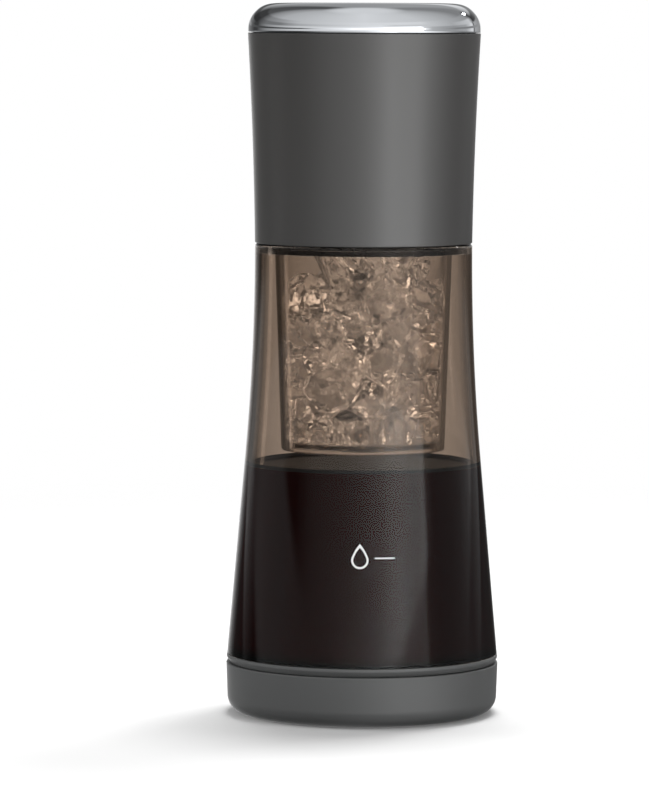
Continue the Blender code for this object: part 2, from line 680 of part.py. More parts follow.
def build_head(grey, liner, black, port_angles, carrier):
    """Outer shell, inner brew chamber with its spout, seal ring, drip plate and valve seat."""
    mouth_radius = flange_radius + GAP
    floor_top = head_bottom + HEAD_FLOOR
    flare = evenly(head_bottom, head_top, HEAD_FLARE_STEPS)[1:-1]
    inner_flare = evenly(floor_top, shell_ledge, HEAD_LINING_STEPS)
    shell_outline = rounded([
        (spout_radius + GAP, head_bottom),
        (neck_radius, head_bottom, HEAD_EDGE_ROUND),
        *[(head_radius(height), height) for height in flare],
        (HEAD_TOP_RADIUS, head_top),
        (mouth_radius, head_top),
        (mouth_radius, shell_ledge),
        *[(head_radius(height) - HEAD_WALL, height) for height in reversed(inner_flare)],
        (spout_radius + GAP, floor_top),
    ])
    revolve("head_shell", shell_outline, grey, carrier)

    wall = evenly(chamber_underside, chamber_flange_bottom, HEAD_LINING_STEPS)
    inner_wall = evenly(shelf_height, chamber_flange_top, HEAD_LINING_STEPS)
    chamber_outline = [
        (0.0, chamber_underside),
        (spout_bore, chamber_underside),
        (spout_bore, drip_plate_bottom - GAP),
        (spout_bore - SPOUT_TOE_WIDTH, drip_plate_bottom - GAP),
        (spout_bore - SPOUT_TOE_WIDTH, spout_bottom),
        (spout_radius, spout_bottom),
        (spout_radius, chamber_underside),
        *[(chamber_outer(height), height) for height in wall],
        (flange_radius, chamber_flange_bottom),
        (flange_radius, chamber_flange_top),
        *[(chamber_inner(height), height) for height in reversed(inner_wall)],
        (valve_well_radius, shelf_height),
        (valve_well_radius, chamber_floor_top),
        (0.0, chamber_floor_top),
    ]
    chamber = revolve("brew_chamber", chamber_outline, liner, carrier)
    floor_ports = prisms("floor_ports", [sector(angle) for angle in port_angles],
                         chamber_underside - CUT_OVERRUN, chamber_floor_top + CUT_OVERRUN, carrier)
    cut(chamber, floor_ports)
    notch_inner = flange_radius - PLUG_KEY_LENGTH
    notch_outer = flange_radius + CUT_OVERRUN
    notch_width = PLUG_KEY_WIDTH + 2 * GAP
    notches = prisms("key_notches", [plate(side, notch_inner, notch_outer, notch_width)
                                     for side in angles_around(2, 0.0)],
                     chamber_flange_top - PLUG_KEY_DEPTH, chamber_flange_top + CUT_OVERRUN, carrier)
    cut(chamber, notches)

    seal_outline = rounded([
        (spout_radius + GAP, hanger_top + GAP),
        (hanger_radius, hanger_top + GAP, SEAL_ROUND),
        (hanger_radius, head_bottom - GAP, SEAL_ROUND),
        (spout_radius + GAP, head_bottom - GAP),
    ])
    revolve("head_seal", seal_outline, black, carrier)

    drip_plate = prisms("drip_plate", [circle(spout_bore - GAP, sides=ROUND_STEPS)],
                        drip_plate_bottom, drip_plate_top, carrier, liner)
    reach = spout_bore - SPOUT_TOE_WIDTH - DRIP_MARGIN - DRIP_HOLE_RADIUS
    centres = hole_rings(DRIP_RINGS, reach)
    outlines = [circle(DRIP_HOLE_RADIUS, centre, HOLE_STEPS) for centre in centres]
    drip_holes = prisms("drip_holes", outlines, drip_plate_bottom - CUT_OVERRUN,
                        drip_plate_top + CUT_OVERRUN, carrier)
    cut(drip_plate, drip_holes)

    seat = ring("valve_seat", basket_tube_radius, disc_radius, seat_bottom, seat_bottom + SEAT_THICKNESS,
                black, carrier)
    seat_ports = prisms("seat_ports", [sector(angle) for angle in port_angles],
                        seat_bottom - CUT_OVERRUN, disc_bottom, carrier)
    cut(seat, seat_ports)


def build_valve(look, port_angles, carrier):
    """The turning disc, shown closed: its ports stand one turn away from those in the floor."""
    hex_radius = socket_flats / math.sqrt(3)
    socket_radius = hex_radius + SOCKET_WALL
    outline = [
        (0.0, disc_bottom),
        (disc_radius, disc_bottom),
        (disc_radius, disc_top),
        (socket_radius, disc_top),
        (socket_radius, socket_top),
        (0.0, socket_top),
    ]
    disc = revolve("valve_disc", outline, look, carrier)
    ports = prisms("disc_ports", [sector(angle - VALVE_TURN) for angle in port_angles],
                   disc_bottom - CUT_OVERRUN, disc_top + CUT_OVERRUN, carrier)
    cut(disc, ports)
    socket = prisms("shaft_socket", [hexagon(socket_flats)], disc_bottom - CUT_OVERRUN,
                    socket_top + CUT_OVERRUN, carrier)
    cut(disc, socket)


def build_basket(frame_look, mesh_look, carrier):
    """Ribbed basket frame with its centre tube and finger tabs, the side mesh and the floor mesh."""
    lower_ring_top = basket_bottom + BASKET_RING_HEIGHT
    upper_ring_bottom = basket_top - BASKET_RING_HEIGHT
    frame = ring("basket_frame", basket_bore, basket_radius, basket_bottom, lower_ring_top,
                 frame_look, carrier)
    upper = ring("basket_upper_ring", basket_bore, basket_radius, upper_ring_bottom, basket_top,
                 frame_look, carrier)
    tube = ring("basket_tube", basket_tube_bore, basket_tube_radius, basket_bottom, basket_top,
                frame_look, carrier, SMALL_ROUND_STEPS * 2)
    angles = angles_around(BASKET_RIB_COUNT, math.pi / BASKET_RIB_COUNT)
    rib_outer = basket_radius - BASKET_RIB_DEPTH / 8
    ribs = prisms("basket_ribs", [plate(angle, mesh_radius + GAP, rib_outer, BASKET_RIB_WIDTH)
                                  for angle in angles],
                  lower_ring_top - JOIN_OVERLAP, upper_ring_bottom + JOIN_OVERLAP, carrier, frame_look)
    spokes = prisms("basket_spokes", [plate(angle, basket_tube_radius - JOIN_OVERLAP,
                                            basket_bore + JOIN_OVERLAP, BASKET_SPOKE_WIDTH)
                                      for angle in angles],
                    basket_bottom, basket_bottom + BASKET_SPOKE_HEIGHT, carrier, frame_look)
    tab_outer = basket_bore + TAB_THICKNESS
    sides = angles_around(2, 0.0)
    tabs = prisms("finger_tabs", [plate(side, basket_bore, tab_outer, TAB_WIDTH) for side in sides],
                  basket_top - JOIN_OVERLAP, basket_top + TAB_LENGTH, carrier, frame_look)
    for stock in (upper, tube, ribs, spokes, tabs):
        join(frame, stock)

    ring("basket_side_mesh", mesh_radius - MESH_THICKNESS, mesh_radius, lower_ring_top + GAP,
         upper_ring_bottom - GAP, mesh_look, carrier)
    floor_bottom = basket_bottom + BASKET_SPOKE_HEIGHT + GAP
    ring("basket_floor_mesh", basket_tube_radius + GAP, basket_bore - GAP, floor_bottom,
         floor_bottom + MESH_THICKNESS, mesh_look, carrier)


def build_lid(liner, black, carrier):
    """Stopper with a hollow cup, vent, keys and stop ribs, its seal, and the ring round the hub."""
    seal_top = lid_seal_bottom + LID_SEAL_HEIGHT
    groove_radius = plug_radius - LID_SEAL_BITE
    oring_height = (plug_bottom + plug_flange_bottom) / 2
    oring_groove = plug_bore + 2 * ORING_WIRE_RADIUS + GAP
    half_groove = ORING_WIRE_RADIUS + GAP
    outline = [
        (plug_bore, plug_bottom),
        (plug_radius, plug_bottom),
        (plug_radius, lid_seal_bottom - GAP),
        (groove_radius, lid_seal_bottom - GAP),
        (groove_radius, seal_top + GAP),
        (plug_radius, seal_top + GAP),
        (plug_radius, plug_flange_bottom),
        (flange_radius, plug_flange_bottom),
        (flange_radius, plug_flange_top),
        (groove_radius - PLUG_WALL, plug_flange_top),
        (groove_radius - PLUG_WALL, plug_bottom + PLUG_WEB),
        (plug_hub_radius, plug_bottom + PLUG_WEB),
        (plug_hub_radius, plug_flange_top),
        (plug_bore, plug_flange_top),
        (plug_bore, oring_height + half_groove),
        (oring_groove, oring_height + half_groove),
        (oring_groove, oring_height - half_groove),
        (plug_bore, oring_height - half_groove),
    ]
    plug = revolve("lid_plug", outline, liner, carrier)
    key_inner = flange_radius - PLUG_KEY_LENGTH + GAP
    key_bottom = chamber_flange_top - PLUG_KEY_DEPTH + GAP
    keys = prisms("plug_keys", [plate(side, key_inner, flange_radius - GAP, PLUG_KEY_WIDTH)
                                for side in angles_around(2, 0.0)],
                  key_bottom, plug_flange_bottom + JOIN_OVERLAP, carrier, liner)
    join(plug, keys)
    cup_radius = groove_radius - PLUG_WALL
    fin_start = cup_radius * HUB_FIN_SHARE + plug_hub_radius * (1 - HUB_FIN_SHARE)
    stop_angle = math.asin(((HUB_FIN_THICKNESS + STOP_RIB_THICKNESS) / 2 + GAP) / fin_start)
    rib_top = plug_bottom + PLUG_WEB + STOP_RIB_SHARE * (plug_flange_top - plug_bottom - PLUG_WEB)
    rib_angles = (-stop_angle, VALVE_TURN + stop_angle)
    ribs = prisms("stop_ribs", [plate(angle, plug_hub_radius - JOIN_OVERLAP, cup_radius + JOIN_OVERLAP,
                                      STOP_RIB_THICKNESS) for angle in rib_angles],
                  plug_bottom + PLUG_WEB - JOIN_OVERLAP, rib_top, carrier, liner)
    join(plug, ribs)
    vent_place = (0.0, -(plug_hub_radius + cup_radius) / 2)
    vent = prisms("vent_hole", [circle(PLUG_VENT_RADIUS, vent_place)], plug_bottom - CUT_OVERRUN,
                  plug_bottom + PLUG_WEB + CUT_OVERRUN, carrier)
    cut(plug, vent)

    seal_radius = chamber_inner(lid_seal_bottom) - GAP
    seal_middle = (lid_seal_bottom + seal_top) / 2
    seal_outline = [
        (groove_radius + GAP, lid_seal_bottom),
        (plug_radius - GAP, lid_seal_bottom),
        (seal_radius, seal_middle),
        (plug_radius - GAP, seal_top),
        (groove_radius + GAP, seal_top),
    ]
    revolve("lid_seal", seal_outline, black, carrier)

    wire_centre = plug_bore + ORING_WIRE_RADIUS
    section = [(wire_centre + x, oring_height + y) for x, y in circle(ORING_WIRE_RADIUS, sides=ORING_STEPS)]
    revolve("shaft_ring", section, black, carrier, SMALL_ROUND_STEPS * 2)
    return fin_start


def build_knob(bright, grey, steel, fin_start, carrier):
    """Bright cap, the hub inside it, the shaft, the screw that holds it and the clip below the plug."""
    shaft_top = hub_disc_top - GAP
    clip_groove = HUB_BOSS_RADIUS - CLIP_BITE
    hub_outline = [
        (0.0, hub_tail),
        (HUB_BOSS_RADIUS, hub_tail),
        (HUB_BOSS_RADIUS, clip_bottom - GAP),
        (clip_groove, clip_bottom - GAP),
        (clip_groove, clip_top + GAP),
        (HUB_BOSS_RADIUS, clip_top + GAP),
        (HUB_BOSS_RADIUS, hub_disc_bottom),
        (hub_radius, hub_disc_bottom),
        (hub_radius, hub_disc_top),
        (SHAFT_SCREW_HEAD_RADIUS + HUB_TOP_WALL, hub_disc_top),
        (SHAFT_SCREW_HEAD_RADIUS + HUB_TOP_WALL, hub_top),
        (0.0, hub_top),
    ]
    hub = revolve("knob_hub", hub_outline, grey, carrier)
    fin = prisms("stop_fin", [plate(0.0, fin_start, fin_start + HUB_FIN_LENGTH, HUB_FIN_THICKNESS)],
                 hub_disc_bottom - HUB_FIN_DEPTH, hub_disc_bottom + JOIN_OVERLAP, carrier, grey)
    join(hub, fin)
    socket = prisms("hub_socket", [hexagon(socket_flats)], hub_tail - CUT_OVERRUN, hub_disc_top, carrier)
    cut(hub, socket)
    hole = prisms("hub_screw_hole", [circle(SHAFT_SCREW_RADIUS + GAP)], hub_disc_top - CUT_OVERRUN,
                  hub_top + CUT_OVERRUN, carrier)
    cut(hub, hole)

    shaft = prisms("drive_shaft", [hexagon(SHAFT_FLATS)], disc_bottom + SHAFT_TIP, shaft_top,
                   carrier, steel)
    screw_tip = hub_top + GAP - SHAFT_SCREW_LENGTH
    thread = prisms("shaft_thread", [circle(SHAFT_SCREW_RADIUS + GAP)], screw_tip - GAP,
                    shaft_top + CUT_OVERRUN, carrier)
    cut(shaft, thread)
    head_low = hub_top + GAP
    head_high = head_low + SHAFT_SCREW_HEAD_HEIGHT
    screw_outline = rounded([
        (0.0, screw_tip),
        (SHAFT_SCREW_RADIUS, screw_tip),
        (SHAFT_SCREW_RADIUS, head_low),
        (SHAFT_SCREW_HEAD_RADIUS, head_low),
        (SHAFT_SCREW_HEAD_RADIUS, head_high, SHAFT_SCREW_HEAD_HEIGHT / 2),
        (0.0, head_high),
    ])
    revolve("shaft_screw", screw_outline, steel, carrier, SMALL_ROUND_STEPS)

    clip = ring("hub_clip", clip_groove + GAP, clip_groove + GAP + CLIP_WIDTH, clip_bottom, clip_top,
                steel, carrier, SMALL_ROUND_STEPS * 2)
    reach = clip_groove + CLIP_WIDTH + CUT_OVERRUN
    along = reach * math.cos(CLIP_OPENING / 2)
    across = reach * math.sin(CLIP_OPENING / 2)
    mouth = [(0.0, 0.0), (along, -across), (reach * 2, 0.0), (along, across)]
    opening = prisms("clip_opening", [mouth], clip_bottom - CUT_OVERRUN, clip_top + CUT_OVERRUN, carrier)
    cut(clip, opening)

    shoulder_height = hub_disc_top + GAP
    inner_fillet = CAP_FILLET - CAP_WALL
    cap_outline = rounded([
        (0.0, cap_top),
        (HEAD_TOP_RADIUS - CAP_FILLET, cap_top - CAP_DOME / 4),
        (HEAD_TOP_RADIUS, cap_top - CAP_DOME, CAP_FILLET - CAP_DOME),
        (HEAD_TOP_RADIUS, cap_bottom, CAP_EDGE_ROUND),
        (cap_inner_radius, cap_bottom),
        (cap_inner_radius, shoulder_height),
        (cap_inner_radius - CAP_SHOULDER, shoulder_height),
        (cap_inner_radius - CAP_SHOULDER, cap_top - CAP_DOME - CAP_WALL, inner_fillet - CAP_SHOULDER),
        (HEAD_TOP_RADIUS - CAP_FILLET - CAP_WALL, cap_top - CAP_DOME / 4 - CAP_WALL),
        (0.0, cap_top - CAP_WALL),
    ])
    revolve("bright_cap", cap_outline, bright, carrier)


def main():
    for thing in list(bpy.data.objects):
        bpy.data.objects.remove(thing, do_unlink=True)

    grey = plastic("grey_satin_abs", (0.130, 0.130, 0.131), 0.34)
    grey_soft = plastic("grey_matte_abs", (0.125, 0.125, 0.126), 0.48)
    smoky = plastic("smoky_copolyester", (0.150, 0.100, 0.070), 0.05, transmission=0.9)
    clear = plastic("clear_copolyester", (0.560, 0.480, 0.420), 0.05, transmission=0.9)
    black = plastic("black_silicone", (0.008, 0.007, 0.006), 0.40)
    liner = plastic("dark_polypropylene", (0.050, 0.050, 0.052), 0.45)
    bright = plastic("chrome_plated_abs", (0.780, 0.790, 0.800), 0.05, metallic=1.0)
    steel = plastic("stainless_steel", (0.560, 0.560, 0.550), 0.25, metallic=1.0)
    fine_mesh = plastic("steel_mesh", (0.420, 0.420, 0.410), 0.40, metallic=1.0)
    rubber = plastic("grey_rubber", (0.045, 0.045, 0.046), 0.70)

    carafe_group = group("carafe_group", 0.0)
    ice_group = group("ice_chamber_group", ledge_height)
    head_group = group("head_group", head_bottom)
    valve_group = group("valve_group", disc_bottom)
    basket_group = group("basket_group", basket_bottom)
    lid_group = group("lid_group", plug_flange_bottom)
    knob_group = group("knob_group", cap_bottom)

    screw_angles = angles_around(SCREW_COUNT, math.pi / 2)
    places = [(screw_circle * math.cos(a), screw_circle * math.sin(a)) for a in screw_angles]
    build_base(grey_soft, steel, rubber, places, carafe_group)
    build_collar(grey_soft, places, carafe_group)
    build_carafe(smoky, carafe_group)
    build_ice_chamber(clear, black, ice_group)
    port_angles = angles_around(PORT_COUNT, PORT_CENTRE_ANGLE)
    build_head(grey, liner, black, port_angles, head_group)
    build_valve(liner, port_angles, valve_group)
    build_basket(liner, fine_mesh, basket_group)
    fin_start = build_lid(liner, black, lid_group)
    build_knob(bright, liner, steel, fin_start, knob_group)


main()
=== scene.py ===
import math

import bmesh
import bpy
import numpy as np
from mathutils import Matrix, Vector


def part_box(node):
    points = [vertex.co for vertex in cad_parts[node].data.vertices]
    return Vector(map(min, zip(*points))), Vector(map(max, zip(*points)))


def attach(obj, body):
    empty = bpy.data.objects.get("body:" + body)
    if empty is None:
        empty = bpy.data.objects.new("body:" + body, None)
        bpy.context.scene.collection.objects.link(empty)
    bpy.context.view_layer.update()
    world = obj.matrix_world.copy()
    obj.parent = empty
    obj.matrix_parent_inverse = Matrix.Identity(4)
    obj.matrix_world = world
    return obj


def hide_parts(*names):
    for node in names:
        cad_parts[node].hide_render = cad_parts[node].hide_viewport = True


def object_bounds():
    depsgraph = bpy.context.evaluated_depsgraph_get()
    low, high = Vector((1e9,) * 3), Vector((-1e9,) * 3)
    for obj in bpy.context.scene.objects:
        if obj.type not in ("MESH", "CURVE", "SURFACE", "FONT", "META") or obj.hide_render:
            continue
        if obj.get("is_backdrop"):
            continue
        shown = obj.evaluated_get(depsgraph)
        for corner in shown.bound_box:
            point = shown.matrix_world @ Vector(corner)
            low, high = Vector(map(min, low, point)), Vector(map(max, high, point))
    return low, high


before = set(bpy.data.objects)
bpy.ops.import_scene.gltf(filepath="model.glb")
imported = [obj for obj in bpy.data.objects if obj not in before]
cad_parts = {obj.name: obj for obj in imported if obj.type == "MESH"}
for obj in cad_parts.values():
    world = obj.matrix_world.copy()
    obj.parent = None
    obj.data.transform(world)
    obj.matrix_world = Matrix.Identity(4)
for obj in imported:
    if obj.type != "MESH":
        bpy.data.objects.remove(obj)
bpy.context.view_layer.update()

# Base cup
# The grey foot that the tower stands in. It is one injection-moulded ABS cup, matte from the spark-eroded
# mould, and three screws from below draw it up to the collar.
MM = 0.001
TURN_STEPS = 288
ARC_STEP = math.radians(6)
LONG_EDGE = 2.0
EDGE_HOLD = 0.35
SHARP_ANGLE = math.radians(32)
FIT_GAP = 0.3
OVERRUN = 1.0
MERGE = 0.0005


def span(node):
    """Lowest height, highest height and outer radius in mm of a part in the frame."""
    low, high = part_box(node)
    return low.z / MM, high.z / MM, high.y / MM


def linear(code):
    """Linear colour of an sRGB hex value: each channel goes through the sRGB curve."""
    parts = np.array([int(code[i:i + 2], 16) for i in (1, 3, 5)]) / 255
    bent = np.where(parts <= 0.04045, parts / 12.92, ((parts + 0.055) / 1.055) ** 2.4)
    return (*bent.tolist(), 1.0)


def add_node(tree, kind, settings=None, inputs=None):
    """Adds one node, sets its properties, and gives each named input a value or a link."""
    made = tree.nodes.new(kind)
    for key, value in (settings or {}).items():
        setattr(made, key, value)
    for key, value in (inputs or {}).items():
        if isinstance(value, bpy.types.NodeSocket):
            tree.links.new(value, made.inputs[key])
        else:
            made.inputs[key].default_value = value
    return made


def new_look(name, **values):
    """A material with its Principled shader, whose sockets take the constants given."""
    look = bpy.data.materials.new(name)
    look.use_nodes = True
    shader = look.node_tree.nodes["Principled BSDF"]
    for key, value in values.items():
        shader.inputs[key.replace("_", " ")].default_value = value
    return look, look.node_tree, shader


def mottled(tree, shader, size, detail, smooth, rough):
    """Lets the roughness wander between two values over blotches of the size in mm: a noise in the piece's
    own space, whose scale is one over the size."""
    place = add_node(tree, "ShaderNodeTexCoord").outputs["Object"]
    noise = add_node(tree, "ShaderNodeTexNoise",
                     inputs={"Vector": place, "Scale": 1 / (size * MM), "Detail": detail})
    shade = add_node(tree, "ShaderNodeMapRange",
                     inputs={"Value": noise.outputs["Fac"], "To Min": smooth, "To Max": rough})
    tree.links.new(shade.outputs["Result"], shader.inputs["Roughness"])


def grained(tree, shader, size, detail, strength, depth):
    """Raises a grain whose size and depth are in mm, by a noise in the piece's own space."""
    place = add_node(tree, "ShaderNodeTexCoord").outputs["Object"]
    noise = add_node(tree, "ShaderNodeTexNoise",
                     inputs={"Vector": place, "Scale": 1 / (size * MM), "Detail": detail})
    bump = add_node(tree, "ShaderNodeBump",
                    inputs={"Height": noise.outputs["Fac"], "Strength": strength, "Distance": depth * MM})
    tree.links.new(bump.outputs["Normal"], shader.inputs["Normal"])


def rounded(corners):
    """Closed outline in mm from (radius, height) corners, where a third number rounds the corner.

    An arc's centre lies on the line that halves the corner, at fillet / sin(half the corner's angle), and
    its points are the centre plus a turning arm as long as the fillet. Each long edge gets a point close
    to either end, so that smooth shading stays flat in between.
    """
    flat = np.array([corner[:2] for corner in corners], float)
    parts = []
    for index, corner in enumerate(corners):
        here = flat[index]
        if len(corner) < 3:
            parts.append(here[None])
            continue
        before = flat[index - 1] - here
        after = flat[(index + 1) % len(corners)] - here
        before /= np.linalg.norm(before)
        after /= np.linalg.norm(after)
        half = np.arccos(np.clip(before @ after, -1, 1)) / 2
        middle = (before + after) / np.linalg.norm(before + after)
        centre = here + middle * corner[2] / np.sin(half)
        start = here + before * corner[2] / np.tan(half) - centre
        end = here + after * corner[2] / np.tan(half) - centre
        first = np.arctan2(start[1], start[0])
        swing = (np.arctan2(end[1], end[0]) - first + np.pi) % (2 * np.pi) - np.pi
        turn = first + swing * np.linspace(0, 1, max(2, math.ceil(abs(swing) / ARC_STEP)) + 1)
        parts.append(centre + corner[2] * np.stack([np.cos(turn), np.sin(turn)], 1))
    line = np.concatenate(parts)
    ahead = np.roll(line, -1, 0) - line
    length = np.linalg.norm(ahead, axis=1, keepdims=True)
    hold = np.where(length > LONG_EDGE, EDGE_HOLD / np.maximum(length, EDGE_HOLD), 0)
    full = np.stack([line, line + ahead * hold, line + ahead * (1 - hold)], 1).reshape(-1, 2)
    keep = np.repeat(length > LONG_EDGE, 3)
    keep[::3] = True
    return full[keep]


def grid_faces(rows, columns):
    """Four-sided faces of a grid of points that closes on itself both ways."""
    row, column = np.meshgrid(np.arange(rows), np.arange(columns), indexing="ij")
    below, beside = (row + 1) % rows, (column + 1) % columns
    corners = [row * columns + column, below * columns + column, below * columns + beside,
               row * columns + beside]
    return np.stack(corners, -1).reshape(-1, 4)


def turned(outline, steps=TURN_STEPS):
    """Turns an outline in mm round Z: (r, z) at angle a goes to (r cos a, r sin a, z), in metres."""
    angle = np.arange(steps) * (math.tau / steps)
    radius, height = np.asarray(outline, float).T * MM
    points = np.stack([np.outer(np.cos(angle), radius), np.outer(np.sin(angle), radius),
                       np.tile(height, (steps, 1))], -1)
    return points.reshape(-1, 3), grid_faces(steps, len(radius))


def prism(outline, low, high):
    """A closed prism in metres over a flat (x, y) outline in mm."""
    flat = np.asarray(outline, float) * MM
    count = len(flat)
    points = np.concatenate([np.c_[flat, np.full(count, low * MM)], np.c_[flat, np.full(count, high * MM)]])
    side = np.arange(count)
    beside = (side + 1) % count
    faces = np.stack([side, beside, beside + count, side + count], 1).tolist()
    return points, faces + [side[::-1].tolist(), (side + count).tolist()]


def together(parts):
    """One list of points and faces from several."""
    points, faces, start = [], [], 0
    for part_points, part_faces in parts:
        points.append(np.asarray(part_points))
        faces += [[corner + start for corner in face] for face in np.asarray(part_faces, object).tolist()]
        start += len(part_points)
    return np.concatenate(points), faces


def mesh_object(name, points, faces):
    """An object at the origin whose doubles are merged and whose faces point outwards."""
    mesh = bpy.data.meshes.new(name)
    mesh.from_pydata(np.asarray(points).tolist(), [], np.asarray(faces, object).tolist())
    shape = bmesh.new()
    shape.from_mesh(mesh)
    bmesh.ops.remove_doubles(shape, verts=shape.verts, dist=MERGE * MM)
    bmesh.ops.recalc_face_normals(shape, faces=shape.faces)
    shape.to_mesh(mesh)
    shape.free()
    made = bpy.data.objects.new(name, mesh)
    bpy.context.scene.collection.objects.link(made)
    return made


def piece(name, shape, look, body, stands_for=(), cuts=()):
    """Makes a piece of the maker. Cuts are (outline, low, high) prisms in mm that are taken out of it."""
    made = mesh_object(name, *shape)
    if cuts:
        cutter = mesh_object(name + "_cutter", *together([prism(*cut) for cut in cuts]))
        modifier = made.modifiers.new("cuts", "BOOLEAN")
        modifier.object = cutter
        modifier.solver = "EXACT"
        ready = made.evaluated_get(bpy.context.evaluated_depsgraph_get())
        mesh = bpy.data.meshes.new_from_object(ready)
        made.modifiers.clear()
        made.data = mesh
        mesh.name = name
        bpy.data.objects.remove(cutter)
    made.data.shade_smooth()
    made.data.set_sharp_from_angle(angle=SHARP_ANGLE)
    made.data.materials.clear()
    made.data.materials.append(look)
    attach(made, body)
    if stands_for:
        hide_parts(*stands_for)
    return made


def circle(radius, centre=(0.0, 0.0), sides=32):
    """Points of a regular polygon round a centre."""
    angle = np.arange(sides) * (math.tau / sides)
    return np.stack([centre[0] + radius * np.cos(angle), centre[1] + radius * np.sin(angle)], 1)


# Moulded matte ABS: a dead-flat grey with a fine even grain and hardly any gloss. The mould's grain is
# 0.1 mm, too fine to show, so it is drawn at 0.5 mm.
matte_grey, tree, shader = new_look("moulded_abs_matte", Base_Color=linear("#4a4b4b"), Roughness=0.42,
                                    IOR=1.6)
mottled(tree, shader, 35.7, 2.0, 0.38, 0.46)
grained(tree, shader, 0.5, 1.0, 0.10, 0.05)

CUP_DRAFT, CUP_WALL, CUP_FLOOR, CUP_ROUND = 0.8, 2.2, 2.8, 7.6
FOOT_WIDTH = 5.4
cup_low, cup_high, cup_reach = span("base_cup")
foot_low, foot_high, foot_outer = span("foot_ring")
foot_inner = foot_outer - FOOT_WIDTH
cup_foot = cup_reach - CUP_DRAFT
cup_outline = rounded([
    (0, cup_low), (foot_inner - FIT_GAP, cup_low), (foot_inner - FIT_GAP, foot_high + FIT_GAP),
    (foot_outer + FIT_GAP, foot_high + FIT_GAP), (foot_outer + FIT_GAP, cup_low),
    (cup_foot, cup_low, CUP_ROUND),
    (cup_reach, cup_high, 0.5), (cup_reach - CUP_WALL, cup_high),
    (cup_foot - CUP_WALL, cup_low + CUP_FLOOR, 5.4),
    (0, cup_low + CUP_FLOOR),
])
screw_spans = [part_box(f"base_screw_{number}") for number in (1, 2, 3)]
screw_places = np.array([(low + high)[:2] for low, high in screw_spans]) / 2 / MM
screw_low, screw_high, _ = span("base_screw_1")
SCREW_HEAD, SCREW_SHANK, SCREW_SEAT, SCREW_SOCKET = 3.1, 1.5, 2.0, 1.2
recesses = [(circle(SCREW_HEAD + FIT_GAP, centre), cup_low - OVERRUN,
             screw_low + SCREW_SEAT + FIT_GAP) for centre in screw_places]
piece("base_cup_moulded", turned(cup_outline), matte_grey, "carafe", ["base_cup"], recesses)

# Foot ring
# A soft ring of grey TPE rubber, let into the groove under the base cup. It stands a hair proud of the cup
# and keeps the tower from sliding.
# Moulded rubber: duller than the cup. Its grain of 0.2 mm is drawn at 0.67 mm, so that it shows.
rubber, tree, shader = new_look("moulded_tpe_rubber", Base_Color=linear("#3a3b3c"), Roughness=0.72, IOR=1.5)
grained(tree, shader, 0.667, 2.0, 0.2, 0.05)
foot_outline = rounded([(foot_inner, foot_low, 0.25), (foot_outer, foot_low, 0.25), (foot_outer, foot_high),
                        (foot_inner, foot_high)])
piece("foot_ring_moulded", turned(foot_outline), rubber, "carafe", ["foot_ring"])

# Base screws
# Three small steel pan-head screws with a hexagon socket, bright zinc-plated. They run up through the
# base cup and the ballast plate into the collar's posts. The ballast plate is the same steel, unpainted.
# Zinc plating: bright but soft, with patches of 2.5 mm that shine a little less.
steel, tree, shader = new_look("zinc_plated_steel", Base_Color=linear("#b9b9b6"), Roughness=0.3,
                               Metallic=1.0)
mottled(tree, shader, 2.5, 3.0, 0.22, 0.38)
screw_outline = rounded([
    (0, screw_low), (SCREW_HEAD, screw_low, 0.8), (SCREW_HEAD, screw_low + SCREW_SEAT),
    (SCREW_SHANK, screw_low + SCREW_SEAT),
    (SCREW_SHANK, screw_high - SCREW_SHANK, 0.4), (0, screw_high),
])
for number, centre in enumerate(screw_places, 1):
    points, faces = turned(screw_outline, 48)
    points = points + [centre[0] * MM, centre[1] * MM, 0]
    piece(f"base_screw_turned_{number}", (points, faces), steel, "carafe",
          [f"base_screw_{number}"],
          [(circle(SCREW_SHANK, centre, 6), screw_low - OVERRUN, screw_low + SCREW_SOCKET)])


def finish(node, look):
    """Gives a CAD shape that stays in the picture its finish."""
    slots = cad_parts[node].data.materials
    slots.clear()
    slots.append(look)


finish("base_weight", steel)

# Collar
# The thin ring between the carafe and the base cup. It is moulded ABS like the cup, its face leans back
# from a groove above the cup to the foot of the carafe, and its deck carries the carafe.
COLLAR_FACE, COLLAR_WAIST, COLLAR_LEAN, COLLAR_DECK = 3.5, 2.1, 1.2, 2.2
TONGUE_DROP, TONGUE_WALL, TONGUE_GAP, SPIGOT_STEP = 3.3, 2.2, 1.1, 3.0
_, collar_high, collar_reach = span("base_collar")
carafe_low, carafe_high, carafe_foot = span("carafe")
SPIGOT = carafe_foot - SPIGOT_STEP
deck_high = carafe_low - FIT_GAP
deck_low, face_low = deck_high - COLLAR_DECK, collar_high - COLLAR_FACE
tongue_outer = cup_reach - CUP_WALL - TONGUE_GAP
collar_outline = rounded([
    (0, deck_low), (tongue_outer - TONGUE_WALL, deck_low),
    (tongue_outer - TONGUE_WALL, deck_low - TONGUE_DROP),
    (tongue_outer, deck_low - TONGUE_DROP), (tongue_outer, face_low),
    (collar_reach - COLLAR_LEAN, face_low, 0.2),
    (collar_reach, face_low + COLLAR_WAIST, 0.9), (carafe_foot, collar_high, 0.4),
    (SPIGOT + FIT_GAP, collar_high),
    (SPIGOT + FIT_GAP, deck_high), (0, deck_high),
])
piece("collar_moulded", turned(collar_outline), matte_grey, "carafe", ["base_collar"])

